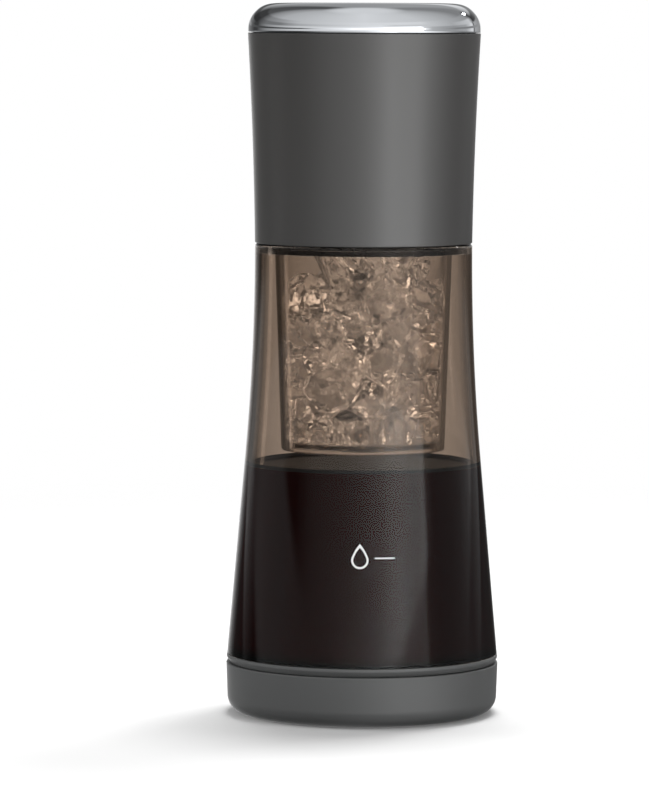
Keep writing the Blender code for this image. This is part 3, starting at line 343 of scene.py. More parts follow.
# Carafe
# The smoky see-through tumbler, moulded in one from tinted copolyester with a polished mould. The wall runs
# straight up from the foot, bends to upright below the neck, and is 2.9 mm thick.
CARAFE_NECK, CARAFE_WALL, BEND_LENGTH, FOOT_FILLET, FOOT_RISE = 47.6, 2.9, 92.0, 6.0, 7.0
hanger_low, hanger_high, hanger_radius = span("tube_hanger")
shoulder, neck, mouth = collar_high + FIT_GAP, hanger_high, hanger_radius + FIT_GAP
ledge = hanger_low - FIT_GAP
bend_height = neck - BEND_LENGTH
half_lean = 0.0
for _ in range(8):
    straight = 2 * (bend_height - shoulder) / (1 - half_lean ** 2)
    half_lean = (carafe_foot - CARAFE_NECK) / (BEND_LENGTH + straight)
carafe_lean = 2 * math.atan(half_lean)


def carafe_radius(height):
    """Outside radius in mm: a straight cone below the bend, and an arc that ends upright at the neck."""
    height = np.asarray(height, float)
    below = carafe_foot - (height - shoulder) * math.tan(carafe_lean)
    down = np.clip(neck - height, 0, BEND_LENGTH)
    turn = np.arcsin(down / BEND_LENGTH * math.sin(carafe_lean))
    return np.where(height < bend_height, below, CARAFE_NECK + down * np.tan(turn / 2))


def pass_lamps(tree, shader, share):
    """Lets a share of the lamps' light straight through a clear material, which else casts a shadow."""
    path = add_node(tree, "ShaderNodeLightPath")
    open_way = add_node(tree, "ShaderNodeBsdfTransparent", inputs={"Color": (share, share, share, 1)})
    mix = add_node(tree, "ShaderNodeMixShader",
                   inputs={0: path.outputs["Is Shadow Ray"], 1: shader.outputs[0], 2: open_way.outputs[0]})
    tree.links.new(mix.outputs[0], tree.nodes["Material Output"].inputs["Surface"])


def see_through(name, ior, colour, depth, gloss):
    """A clear plastic whose colour comes from its thickness: white light is dyed to the hex colour after
    the depth in mm, which gives the deeper edges of a moulded wall. The gloss scales what it mirrors."""
    look, tree, shader = new_look(name, Base_Color=(1, 1, 1, 1), Roughness=0.0, IOR=ior,
                                  Transmission_Weight=1.0,
                                  Specular_Tint=(gloss, gloss, gloss, 1))
    pass_lamps(tree, shader, 0.95)
    loss = -np.log(np.array(linear(colour)[:3])) / (depth * MM)
    density = float(loss.max()) * 1.02 + 0.001
    dye = add_node(tree, "ShaderNodeVolumeAbsorption",
                   inputs={"Color": (*(1 - loss / density).tolist(), 1), "Density": density})
    tree.links.new(dye.outputs[0], tree.nodes["Material Output"].inputs["Volume"])
    return look


# Tinted copolyester: as clear as glass, warm brown, and darkest where one looks along the wall.
smoky = see_through("tinted_copolyester", 1.5, "#bfb4aa", CARAFE_WALL, 0.25)
outside = np.linspace(shoulder, neck, 90)
inside = np.linspace(ledge, shoulder + FOOT_RISE, 90)
carafe_outline = rounded([
    (0, carafe_low), (SPIGOT, carafe_low), (SPIGOT, shoulder),
    *np.c_[carafe_radius(outside), outside].tolist(),
    (CARAFE_NECK, carafe_high, 0.8), (mouth, carafe_high), (mouth, ledge),
    *np.c_[carafe_radius(inside) - CARAFE_WALL, inside].tolist(),
    (carafe_foot - CARAFE_WALL, shoulder, FOOT_FILLET), (0, shoulder),
])
piece("carafe_moulded", turned(carafe_outline), smoky, "carafe", ["carafe"])

# Fill mark
# A water drop and a short dash, pad-printed in white ink on the front of the carafe. They show how high to
# fill it with water. The ink is a film that stands 0.06 mm proud of the wall.
INK_LOW, INK_HIGH = -0.02, 0.06
# Pad-print ink: an opaque white with a low sheen, uneven over a third of a millimetre.
ink, tree, shader = new_look("white_pad_print_ink", Base_Color=linear("#f2f0ee"), Roughness=0.45)
mottled(tree, shader, 0.333, 1.0, 0.4, 0.5)


def on_front(across, height, lift):
    """Points in metres on the carafe's front: x is across, and y is where the lifted wall has that x."""
    radius = carafe_radius(height) + lift
    return np.stack([across, -np.sqrt(radius ** 2 - across ** 2), height], -1) * MM


def ink_strip(left, right):
    """A closed film between two lines of (x, z) points on the wall."""
    corners = [on_front(side[:, 0], side[:, 1], lift)
               for side, lift in ((left, INK_LOW), (right, INK_LOW), (right, INK_HIGH), (left, INK_HIGH))]
    return np.stack(corners, 1).reshape(-1, 3)


def drop_line(radius, tip):
    """A drop: a circle's arc closed by the two tangents that meet in the tip above it, each bulging out a
    little by a sine."""
    half = math.asin(radius / tip)
    turn = np.linspace(math.pi - half, math.tau + half, 60)
    arc = radius * np.stack([np.cos(turn), np.sin(turn)], 1)
    rise = np.linspace(0, 1, 16)[1:, None]
    point = np.array([[0, tip]])
    swell = DROP_SWELL * np.sin(rise * math.pi) * [[1, 0.6]]
    return np.concatenate([arc, arc[-1] + (point - arc[-1]) * rise + swell,
                           (point + (arc[0] - point) * rise + swell * [[-1, 1]])[:-1]])


DROP_PLACE = np.array([-1.05, 73.05])
DROP_RADIUS, DROP_TIP, STROKE, DROP_SWELL = 3.3, 6.18, 0.9, 0.22
inner_line = drop_line(DROP_RADIUS - STROKE / 2, DROP_TIP * (1 - STROKE / 2 / DROP_RADIUS)) + DROP_PLACE
outer_line = drop_line(DROP_RADIUS + STROKE / 2, DROP_TIP * (1 + STROKE / 2 / DROP_RADIUS)) + DROP_PLACE
piece("mark_drop", (ink_strip(inner_line, outer_line), grid_faces(len(inner_line), 4)), ink, "carafe")
DASH_START, DASH_END, DASH_HEIGHT, DASH_HALF = 5.3, 14.0, 73.9, 0.33
along = np.linspace(0, math.pi, 41)
reach = (1 - np.cos(along)) / 2 * (DASH_END - DASH_START)
wide = np.sqrt(np.clip(DASH_HALF ** 2 - np.clip(DASH_HALF - np.minimum(reach, reach[::-1]), 0, None) ** 2,
                       0, None))
lower = np.stack([DASH_START + reach, DASH_HEIGHT - wide], 1)
upper = np.stack([DASH_START + reach, DASH_HEIGHT + wide], 1)
dash_faces = [face for face in grid_faces(len(along), 4).tolist() if max(face) - min(face) < 8]
piece("mark_dash", (ink_strip(lower, upper), dash_faces), ink, "carafe")

# Coffee
# The cold brew that has drained into the carafe, up to 6 mm below the ice tube. It wets the wall, so it
# reaches a hair into it and no film of air shows, and it climbs the wall a little at its edge.
TUBE_CLEAR, MENISCUS, MENISCUS_REACH, WETTING = 6.3, 1.2, 4.0, 0.12
BODY_DROP, BODY_INSET, SURFACE_SKIN, RIM_OVERLAP, COFFEE_CLOUD = 0.4, 0.1, 0.3, 0.05, 55.6
coffee_level = span("ice_tube")[0] - TUBE_CLEAR
# Cold brew: near black with a little red in it, faintly clouded over some 56 mm.
coffee, tree, shader = new_look("cold_brew_coffee", Base_Color=linear("#5a2f26"), Roughness=0.35,
                                Specular_IOR_Level=0.0)
place = add_node(tree, "ShaderNodeTexCoord").outputs["Object"]
cloud = add_node(tree, "ShaderNodeTexNoise",
                 inputs={"Vector": place, "Scale": 1 / (COFFEE_CLOUD * MM), "Detail": 3.0})
brew = add_node(tree, "ShaderNodeMix", {"data_type": "RGBA"},
                {"Factor": cloud.outputs["Fac"], 6: linear("#280a0a"), 7: linear("#2f0c0c")})
tree.links.new(brew.outputs[2], shader.inputs["Base Color"])
wet = np.linspace(coffee_level, shoulder + FOOT_RISE, 60)
coffee_wall = np.c_[carafe_radius(wet) - CARAFE_WALL + WETTING, wet]
coffee_outline = rounded([
    (0, coffee_level - BODY_DROP), (float(coffee_wall[0, 0]) - BODY_INSET, coffee_level - BODY_DROP),
    *coffee_wall[1:].tolist(),
    (carafe_foot - CARAFE_WALL + WETTING, shoulder - WETTING, FOOT_FILLET), (0, shoulder - WETTING),
])
piece("coffee_body", turned(coffee_outline), coffee, "carafe")
# The surface: about as dark as the body but a cool grey, which is a painted reflection of the tube and ice
# above, dimmed. Over it lie a thin real gloss and the faintest ripple.
surface, tree, shader = new_look("coffee_top_painted_reflection", Base_Color=linear("#2c3036"), Roughness=0.5, IOR=1.34,
                                 Specular_IOR_Level=0.0, Coat_Weight=0.2, Coat_Roughness=0.03)
grained(tree, shader, 25.0, 1.0, 0.03, 1.0)
rim = float(carafe_radius(coffee_level)) - CARAFE_WALL
climb = np.linspace(0, 1, 16)
edge = np.c_[rim - MENISCUS_REACH * (1 - climb) + RIM_OVERLAP * climb, coffee_level + MENISCUS * climb ** 4]
surface_outline = [(0, coffee_level), *edge.tolist(), (rim + WETTING, coffee_level + MENISCUS),
                   (rim + WETTING, coffee_level - SURFACE_SKIN), (0, coffee_level - SURFACE_SKIN)]
piece("coffee_top", turned(np.array(surface_outline)), surface, "carafe")

# Tube hanger
# A black silicone ring on the ledge in the carafe's mouth. It carries the ice tube by the lip, and with the
# head's seal above it makes the black band under the head.
# Moulded silicone: deep black with a soft sheen that is patchy over some 8 mm.
silicone, tree, shader = new_look("black_silicone", Base_Color=linear("#070504"), Roughness=0.3, IOR=1.35,
                                  Specular_IOR_Level=0.25)
mottled(tree, shader, 8.33, 2.0, 0.2, 0.32)
lip_room = span("ice_tube")[2] + FIT_GAP
HANGER_FLOOR, HANGER_REACH = 0.8, 3.87
hanger_floor, hanger_inner = hanger_low + HANGER_FLOOR, lip_room - HANGER_REACH
hanger_outline = rounded([
    (hanger_inner, hanger_low, 0.2), (hanger_radius, hanger_low, 0.3), (hanger_radius, hanger_high, 0.2),
    (lip_room, hanger_high), (lip_room, hanger_floor), (hanger_inner, hanger_floor),
])
piece("tube_hanger_moulded", turned(hanger_outline), silicone, "ice_chamber",
      ["tube_hanger"])

# Ice tube
# The clear tapered tube that hangs in the carafe and holds the ice, moulded from clear copolyester with a
# lip at the top and a toe at the bottom, where the strainer rests.
TUBE_MOUTH, TUBE_TAPER, TUBE_WALL, TUBE_LIP, TUBE_TOE = 38.9, 3.0, 2.0, 1.0, 4.2
tube_low, tube_high, tube_lip = span("ice_tube")
strainer_low, strainer_high, strainer_radius = span("ice_strainer")
toe_high = strainer_low - FIT_GAP


def tube_radius(height):
    """Outside radius in mm, which narrows evenly from the lip to the toe."""
    return TUBE_MOUTH - (tube_high - height) / (tube_high - tube_low) * TUBE_TAPER


# Clear copolyester: colourless, with edges a little grey where one looks along the wall.
clear = see_through("clear_copolyester", 1.5, "#f1eeeb", TUBE_WALL, 0.8)
tube_outline = rounded([
    (tube_radius(tube_low) - TUBE_TOE, tube_low, 0.3), (tube_radius(tube_low), tube_low, 0.85),
    (tube_radius(tube_high - TUBE_LIP), tube_high - TUBE_LIP), (tube_lip, tube_high - TUBE_LIP, 0.2),
    (tube_lip, tube_high, 0.2), (tube_radius(tube_high) - TUBE_WALL, tube_high, 0.2),
    (tube_radius(toe_high) - TUBE_WALL, toe_high), (tube_radius(tube_low) - TUBE_TOE, toe_high, 0.2),
])
piece("ice_tube_moulded", turned(tube_outline), clear, "ice_chamber", ["ice_tube"])


def hole_rings(counts, reach):
    """Centres of holes in evenly spaced rings, the last ring at the reach."""
    rings = [circle(reach * index / (len(counts) - 1), (0, 0), count) for index, count in enumerate(counts)]
    turns = [Matrix.Rotation(math.pi / count, 2) for count in counts]
    return np.concatenate([ring @ np.array(turn).T for ring, turn in zip(rings, turns)])


strainer_outline = rounded([(0, strainer_low), (strainer_radius, strainer_low, 0.3),
                            (strainer_radius, strainer_high, 0.3), (0, strainer_high)])
STRAINER_HOLE, STRAINER_MARGIN = 2.2, 7.4
strainer_holes = [(circle(STRAINER_HOLE, centre, 28), strainer_low - OVERRUN, strainer_high + OVERRUN)
                  for centre in hole_rings((1, 6, 12), strainer_radius - STRAINER_MARGIN)]
piece("strainer_moulded", turned(strainer_outline), clear, "ice_chamber", ["ice_strainer"],
      strainer_holes)

# Ice
# Hard clear chunks of broken ice that fill the tube in a low mound. Each is a convex stone with flat broken
# faces and slightly melted edges, and each touches its neighbours across a thin film of air.
ICE_COUNT, ICE_SEED, ICE_PIECES = 92, 11, 3
ICE_SMALL, ICE_LARGE, ICE_FLOOR, ICE_MOUND, ICE_GAP = 6.0, 10.4, 0.5, 5.0, 1.0
ICE_EDGE, ICE_CUTS, ICE_HOLLOW, ICE_TOP, ICE_SIDE, ICE_LEAST = 90.0, 9, 0.2, 1.5, 0.8, 1.5
MOUND_DROP, MOUND_REACH, SETTLE_STEPS, SETTLE_PUSH, ICE_WAVE = 13.0, 34.0, 400, 0.22, 0.004
ICE_SPREAD, WALL_SHARE, FLOOR_SHARE, MOUND_SHARE, ICE_CLOUD = 24, 0.72, 0.6, 0.5, 14.29
ice_low, ice_high = strainer_high + ICE_FLOOR, hanger_low - ICE_MOUND
ice_ceiling = span("head_seal")[0] - ICE_TOP
luck = np.random.default_rng(ICE_SEED)


def ice_seats(count):
    """Centres and sizes in mm of the chunks: random points that push each other apart until they settle.

    Each pair closer than the sum of its sizes moves apart by a share of what it lacks, and each point is
    kept inside the tube, above the strainer and under a mound that is highest in the middle.
    """
    size = luck.uniform(ICE_SMALL, ICE_LARGE, count)
    seat = np.c_[luck.uniform(-ICE_SPREAD, ICE_SPREAD, (count, 2)), luck.uniform(ice_low, ice_high, count)]
    for _ in range(SETTLE_STEPS):
        apart = seat[:, None] - seat[None]
        distance = np.linalg.norm(apart, axis=-1) + np.eye(count) * 1e3
        lack = np.clip(size[:, None] + size[None] - distance, 0, None)
        seat = seat + (apart / distance[..., None] * lack[..., None]).sum(1) * SETTLE_PUSH
        out = np.linalg.norm(seat[:, :2], axis=1)
        limit = tube_radius(seat[:, 2]) - TUBE_WALL - size * WALL_SHARE
        seat[:, :2] *= np.minimum(1, limit / np.maximum(out, 1e-6))[:, None]
        mound = ice_high - MOUND_DROP * (out / MOUND_REACH) ** 2
        seat[:, 2] = np.clip(seat[:, 2], ice_low + size * FLOOR_SHARE, mound - size * MOUND_SHARE)
    return seat, size


def ice_stone(directions, planes, reaches, hollows):
    """Radius of a stone along each direction: the nearest of its broken faces, softened at the edges.

    A face at reach h with normal n is met along u at h / (u . n), and is bent in or out by its hollow
    times the square of the sine between u and n. The softened least of these is the sum of their inverse
    powers to the power of minus one over that exponent.
    """
    facing = np.clip(directions @ planes.T, 0, None)
    bent = reaches * (1 + hollows * (1 - facing ** 2))
    return ((facing / bent) ** ICE_EDGE).sum(1) ** (-1 / ICE_EDGE)


ball = bmesh.new()
bmesh.ops.create_icosphere(ball, subdivisions=5, radius=1.0)
ball.verts.ensure_lookup_table()
ball_points = np.array([vertex.co for vertex in ball.verts])
ball_faces = np.array([[vertex.index for vertex in face.verts] for face in ball.faces])
ball.free()
seats, sizes = ice_seats(ICE_COUNT)
stones = []
for index in range(ICE_COUNT):
    toward = seats - seats[index]
    distance = np.linalg.norm(toward, axis=1)
    near = (distance > 0) & (distance < MOUND_REACH)
    share = (distance[near] ** 2 + sizes[index] ** 2 - sizes[near] ** 2) / (2 * distance[near])
    wall = math.atan2(seats[index, 1], seats[index, 0]) + np.radians((-32, -16, 0, 16, 32))
    wall = np.stack([np.cos(wall), np.sin(wall), np.zeros(5)], 1)
    chips = luck.normal(size=(ICE_CUTS, 3))
    planes = np.concatenate([toward[near] / distance[near, None], wall, [[0, 0, -1.0], [0, 0, 1.0]],
                             chips / np.linalg.norm(chips, axis=1, keepdims=True)])
    reaches = np.concatenate([share - ICE_GAP / 2,
                              tube_radius(seats[index, 2]) - TUBE_WALL - ICE_SIDE - wall @ seats[index],
                              [seats[index, 2] - ice_low, ice_ceiling - seats[index, 2]],
                              sizes[index] * luck.uniform(0.6, 1.0, ICE_CUTS)])
    hollows = np.r_[np.zeros(len(reaches) - ICE_CUTS), luck.uniform(-ICE_HOLLOW, ICE_HOLLOW, ICE_CUTS)]
    radius = ice_stone(ball_points, planes, np.maximum(reaches, ICE_LEAST), hollows)
    wave = np.sin(ball_points @ luck.normal(size=(3, 3)) * 6 + luck.uniform(0, 6, 3)).sum(1)
    stones.append((seats[index] + ball_points * (radius * (1 + ICE_WAVE * wave))[:, None]) * MM)
# Clear ice: bends light less than glass, with whitish clouds of fine bubbles and a few frosted faces.
ice, tree, shader = new_look("broken_clear_ice", Base_Color=(1, 1, 1, 1), Roughness=0.0, IOR=1.31,
                             Transmission_Weight=1.0)
pass_lamps(tree, shader, 0.97)
place = add_node(tree, "ShaderNodeTexCoord").outputs["Object"]
cloud = add_node(tree, "ShaderNodeTexNoise",
                 inputs={"Vector": place, "Scale": 1 / (ICE_CLOUD * MM), "Detail": 4.0, "Roughness": 0.65})
clarity = add_node(tree, "ShaderNodeMapRange", inputs={"Value": cloud.outputs["Fac"], "From Min": 0.5,
                                                       "From Max": 0.74, "To Min": 1.0, "To Max": 0.7})
tree.links.new(clarity.outputs["Result"], shader.inputs["Transmission Weight"])
grained(tree, shader, 3.846, 2.0, 0.012, 0.5)
for part in range(ICE_PIECES):
    some = np.array(stones[part::ICE_PIECES])
    starts = np.arange(len(some))[:, None, None] * len(ball_points)
    piece(f"ice_chunks_{part + 1}", (some.reshape(-1, 3), (ball_faces + starts).reshape(-1, 3)), ice,
          "ice_chamber")

# Head seal
# The black silicone ring that the head carries underneath. It closes the carafe's mouth and is the upper
# half of the black band.
seal_low, seal_high, seal_radius = span("head_seal")
shell_low, shell_high, shell_reach = span("head_shell")
drip_low, drip_high, drip_radius = span("drip_plate")
SPOUT_WALL = 2.0
spout_outer = drip_radius + FIT_GAP + SPOUT_WALL
shell_inner = spout_outer + FIT_GAP
seal_outline = rounded([(shell_inner, seal_low), (seal_radius, seal_low, 0.4),
                        (seal_radius, seal_high, 0.4), (shell_inner, seal_high)])
piece("head_seal_moulded", turned(seal_outline), silicone, "head", ["head_seal"])

# Head shell
# The tall grey casing of the brew head, moulded ABS with a satin paint. Its wall flares towards the top
# in one long arc, and its edges are lightly rounded.
FLARE_RADIUS, SHELL_WALL, SHELL_FLOOR, SHELL_BEAD, CHAMBER_LIP = 2130.0, 2.4, 2.2, 1.95, 2.0
LOWER_EDGE, UPPER_EDGE = 1.5, 0.6


def head_radius(height):
    """Outside radius in mm: an arc of the flare radius through the shell's lower and upper edge, hollow
    to the outside."""
    rise, spread = shell_high - shell_low, shell_reach - CARAFE_NECK
    chord = math.hypot(rise, spread)
    offset = math.sqrt(FLARE_RADIUS ** 2 - (chord / 2) ** 2)
    centre_radius = (shell_reach + CARAFE_NECK) / 2 + offset * rise / chord
    centre_height = (shell_low + shell_high) / 2 - offset * spread / chord
    return centre_radius - np.sqrt(FLARE_RADIUS ** 2 - (np.asarray(height, float) - centre_height) ** 2)


# Satin lacquer on ABS: dark graphite with one broad soft highlight. The ripple of spraying is 1.1 mm from
# wave to wave.
satin_grey, tree, shader = new_look("satin_lacquered_abs", Base_Color=linear("#333231"), Roughness=0.3,
                                    IOR=1.78)
mottled(tree, shader, 45.5, 3.0, 0.28, 0.33)
grained(tree, shader, 1.11, 1.0, 0.05, 0.04)
_, chamber_high, chamber_reach = span("brew_chamber")
bead_low = chamber_high - CHAMBER_LIP - FIT_GAP
flare = np.linspace(shell_low + LOWER_EDGE, shell_high - UPPER_EDGE, 60)
lining = np.linspace(bead_low, shell_low + SHELL_FLOOR, 40)
shell_outline = rounded([
    (shell_inner, shell_low), (CARAFE_NECK, shell_low, 0.5), *np.c_[head_radius(flare), flare].tolist(),
    (shell_reach, shell_high, 0.25), (shell_reach - SHELL_BEAD, shell_high),
    (shell_reach - SHELL_BEAD, bead_low),
    *np.c_[head_radius(lining) - SHELL_WALL, lining].tolist(), (shell_inner, shell_low + SHELL_FLOOR),
])
piece("head_shell_painted", turned(shell_outline), satin_grey, "head", ["head_shell"])

# Brew chamber
# The dark inner cup of the head, moulded polypropylene. Its floor has three ports for the drain valve,
# and a spout below them reaches into the ice tube and holds the drip plate.
# Moulded polypropylene: dark grey with a waxy, slightly blotched sheen.
polypropylene, tree, shader = new_look("dark_polypropylene", Base_Color=linear("#3b3c3e"), Roughness=0.42,
                                       IOR=1.49)
mottled(tree, shader, 16.67, 2.0, 0.36, 0.48)
PORT_NEAR, PORT_FAR, PORT_HALF, PORT_MIDDLES = 14.0, 35.0, 25.0, (30, 150, 270)


def port(middle):
    """Outline in mm of a drain port: a ring sector of 50 degrees round its middle angle."""
    turn = np.radians(np.linspace(middle - PORT_HALF, middle + PORT_HALF, 21))
    arc = np.stack([np.cos(turn), np.sin(turn)], 1)
    return np.concatenate([PORT_FAR * arc, PORT_NEAR * arc[::-1]])


def bar(angle, near, far, width, low, high):
    """A straight bar that runs out from the axis at an angle, as (outline, low, high) of a prism."""
    flat = np.array([[near, -width / 2], [far, -width / 2], [far, width / 2], [near, width / 2]])
    turn = np.array([[math.cos(angle), math.sin(angle)], [-math.sin(angle), math.cos(angle)]])
    return flat @ turn, low, high


seat_low, seat_high, seat_radius = span("valve_seat")
CHAMBER_WALL, CHAMBER_GAP, CHAMBER_FLOOR, SPOUT_LEDGE = 2.0, 2.0, 2.5, 1.1
KEY_LENGTH, KEY_WIDTH, KEY_DEPTH = 3.0, 6.0, 1.6
floor_high = seat_low - FIT_GAP
floor_low, spout_low, step_high = floor_high - CHAMBER_FLOOR, seal_low, span("valve_disc")[1]
outer_wall = np.linspace(floor_low, chamber_high - CHAMBER_LIP, 30)
inner_wall = np.linspace(chamber_high, step_high, 30)
chamber_inset = SHELL_WALL + CHAMBER_GAP
chamber_outline = rounded([
    (0, floor_low), (spout_outer - SPOUT_WALL, floor_low), (spout_outer - SPOUT_WALL, drip_low - FIT_GAP),
    (drip_radius - SPOUT_LEDGE, drip_low - FIT_GAP), (drip_radius - SPOUT_LEDGE, spout_low, 0.3),
    (spout_outer, spout_low, 0.3),
    (spout_outer, floor_low), *np.c_[head_radius(outer_wall) - chamber_inset, outer_wall].tolist(),
    (chamber_reach, chamber_high - CHAMBER_LIP), (chamber_reach, chamber_high, 0.3),
    *np.c_[head_radius(inner_wall) - chamber_inset - CHAMBER_WALL, inner_wall].tolist(),
    (seat_radius + FIT_GAP, step_high, 0.3), (seat_radius + FIT_GAP, floor_high), (0, floor_high),
])
chamber_cuts = [(port(middle), floor_low - OVERRUN, floor_high + OVERRUN) for middle in PORT_MIDDLES]
chamber_cuts += [bar(angle, chamber_reach - KEY_LENGTH, chamber_reach + OVERRUN, KEY_WIDTH + 2 * FIT_GAP,
                     chamber_high - KEY_DEPTH, chamber_high + OVERRUN) for angle in (0, math.pi)]
piece("brew_chamber_moulded", turned(chamber_outline), polypropylene, "head",
      ["brew_chamber"], chamber_cuts)

# Drip plate and valve seat
# The drip plate lies in the spout's toe and spreads the coffee over the ice. The valve seat is a soft black
# ring on the chamber's floor with the same three ports.
DRIP_HOLE, DRIP_MARGIN = 1.6, 6.1
plate_outline = rounded([(0, drip_low), (drip_radius, drip_low, 0.3), (drip_radius, drip_high, 0.3),
                         (0, drip_high)])
drip_holes = [(circle(DRIP_HOLE, centre, 24), drip_low - OVERRUN, drip_high + OVERRUN)
              for centre in hole_rings((1, 6, 12), drip_radius - DRIP_MARGIN)]
piece("drip_plate_moulded", turned(plate_outline), polypropylene, "head", ["drip_plate"],
      drip_holes)
SEAT_BORE = 6.25
seat_outline = rounded([(SEAT_BORE, seat_low), (seat_radius, seat_low), (seat_radius, seat_high, 0.2),
                        (SEAT_BORE, seat_high, 0.2)])
seat_ports = [(port(middle), seat_low - OVERRUN, seat_high + OVERRUN) for middle in PORT_MIDDLES]
piece("valve_seat_moulded", turned(seat_outline), silicone, "head", ["valve_seat"],
      seat_ports)

# Valve disc
# The turning half of the drain valve. It has three ports like the floor's, one turn of the cap away from
# them, and a socket in the middle that the hexagonal shaft drops into.
disc_low, disc_high, disc_radius = span("valve_disc")
DISC_PLATE, SOCKET_RADIUS, SOCKET_WALL, CAP_TURN = 3.0, 4.388, 3.0, 60
disc_top, boss = disc_low + DISC_PLATE, SOCKET_RADIUS + SOCKET_WALL
disc_outline = rounded([(0, disc_low), (disc_radius, disc_low, 0.2), (disc_radius, disc_top, 0.4),
                        (boss, disc_top),
                        (boss, disc_high, 0.5), (0, disc_high)])
disc_cuts = [(port(middle - CAP_TURN), disc_low - OVERRUN, disc_top + OVERRUN) for middle in PORT_MIDDLES]
disc_cuts.append((circle(SOCKET_RADIUS, (0, 0), 6), disc_low - OVERRUN, disc_high + OVERRUN))
piece("valve_disc_moulded", turned(disc_outline), polypropylene, "valve", ["valve_disc"],
      disc_cuts)

# Filter basket
# A moulded polypropylene frame of two rings, six ribs, a centre tube and two finger tabs. Fine stainless
# wire cloth is welded round its side and into its floor.
basket_low, tabs_high, basket_radius = span("basket_frame")
cloth_low, cloth_high, cloth_outer = span("basket_side_mesh")
net_low, net_high, net_radius = span("basket_floor_mesh")
BASKET_BORE, RING_HEIGHT, TUBE_BORE, TUBE_SKIN = 37.0, 3.0, 4.65, 1.6
RIB_WIDTH, RIB_SUNK, RIB_SETBACK, SPOKE_WIDTH, SPOKE_HEIGHT = 4.0, 0.5, 0.15, 3.0, 2.0
SPOKE_ROOT, SPOKE_END, TAB_HEIGHT, TAB_WIDTH, TAB_THICK, TAB_ROOT = 1.25, 0.4, 3.4, 14.0, 2.0, 0.05
basket_high = tabs_high - TAB_HEIGHT


def hoop(inner, outer, low, high):
    """A ring with lightly rounded edges."""
    return turned(rounded([(inner, low, 0.3), (outer, low, 0.3), (outer, high, 0.3), (inner, high, 0.3)]),
                  192)


rib_angles = np.radians(np.arange(6) * 60 + 30)
basket_parts = [hoop(BASKET_BORE, basket_radius, basket_low, basket_low + RING_HEIGHT),
                hoop(BASKET_BORE, basket_radius, basket_high - RING_HEIGHT, basket_high),
                hoop(TUBE_BORE, TUBE_BORE + TUBE_SKIN, basket_low, basket_high)]
basket_parts += [prism(*bar(angle, cloth_outer + FIT_GAP, basket_radius - RIB_SETBACK, RIB_WIDTH,
                            basket_low + RING_HEIGHT - RIB_SUNK, basket_high - RING_HEIGHT + RIB_SUNK))
                 for angle in rib_angles]
basket_parts += [prism(*bar(angle, TUBE_BORE + SPOKE_ROOT, BASKET_BORE + SPOKE_END, SPOKE_WIDTH,
                            basket_low, basket_low + SPOKE_HEIGHT))
                 for angle in rib_angles]
basket_parts += [prism(*bar(angle, BASKET_BORE + TAB_ROOT, BASKET_BORE + TAB_THICK, TAB_WIDTH,
                            basket_high - RIB_SUNK, tabs_high))
                 for angle in (0, math.pi)]
piece("basket_frame_moulded", together(basket_parts), polypropylene, "basket",
      ["basket_frame"])


def wires(centre, side, up, half, closed):
    """Square wires along lines of points: at each point four corners stand off the centre, half a wire
    to either side along the two directions given. The grid is line by point by corner."""
    lines, points = centre.shape[:2]
    corners = [centre + side * a * half + up * b * half for a, b in ((-1, -1), (1, -1), (1, 1), (-1, 1))]
    block = np.stack(corners, 2).reshape(-1, 3) * MM
    face = grid_faces(points, 4)
    if not closed:
        face = face[:-4]
        face = np.concatenate([face, [[3, 2, 1, 0]], [[points * 4 - 4, points * 4 - 3, points * 4 - 2,
                                                       points * 4 - 1]]])
    return block, (face[None] + np.arange(lines)[:, None, None] * points * 4).reshape(-1, 4)


# Wire cloth: stainless wire of 0.2 mm, woven over and under. The real cloth has some 0.3 mm between its
# wires, too fine to show, so it is drawn at 1.2 mm.
UPRIGHTS, HOOPS, WIRE_HALF, WEAVE, CLOTH_MARGIN = 204, 42, 0.11, 0.13, 0.5
wire_steel, tree, shader = new_look("stainless_wire_cloth", Base_Color=linear("#b0afab"), Roughness=0.32,
                                    Metallic=1.0)
mottled(tree, shader, 11.1, 2.0, 0.26, 0.4)
cloth_radius = cloth_outer - WEAVE - WIRE_HALF
turn = np.arange(UPRIGHTS) * math.tau / UPRIGHTS
heights = np.linspace(cloth_low + CLOTH_MARGIN, cloth_high - CLOTH_MARGIN, HOOPS)
over = np.where((np.arange(UPRIGHTS)[:, None] + np.arange(HOOPS)[None]) % 2, 1, -1)
out = np.stack([np.cos(turn), np.sin(turn), np.zeros(UPRIGHTS)], -1)
past = np.stack([-np.sin(turn), np.cos(turn), np.zeros(UPRIGHTS)], -1)
upward = np.array([0, 0, 1.0])
upright = out[:, None] * (cloth_radius + over * WEAVE)[..., None] + upward * heights[None, :, None]
hooped = out[None] * (cloth_radius - over.T * WEAVE)[..., None] + upward * heights[:, None, None]
side_cloth = together([wires(upright, past[:, None], out[:, None], WIRE_HALF, False),
                       wires(hooped, upward, out[None], WIRE_HALF, True)])
piece("side_cloth_woven", side_cloth, wire_steel, "basket", ["basket_side_mesh"])
NET_PITCH, NET_LINES, NET_SHIFT = 1.2, 60, 0.1
net_level, net_near = (net_low + net_high) / 2, TUBE_BORE + TUBE_SKIN + FIT_GAP
offset = (np.arange(NET_LINES) - (NET_LINES - 1) / 2) * NET_PITCH
offset = offset[np.abs(offset) < net_radius - CLOTH_MARGIN]
far_end = np.sqrt(net_radius ** 2 - offset ** 2) - WIRE_HALF
near_end = np.sqrt(np.clip(net_near ** 2 - offset ** 2, 0, None))
split = near_end > 0
start = np.concatenate([-far_end, near_end[split]])
stop = np.concatenate([np.where(split, -near_end, far_end), far_end[split]])
line = np.concatenate([offset, offset[split]])
step = np.linspace(0, 1, 3)
runs = start[:, None] + (stop - start)[:, None] * step
level_x, level_y = np.full_like(runs, net_level - NET_SHIFT), np.full_like(runs, net_level + NET_SHIFT)
across = np.repeat(line[:, None], len(step), 1)
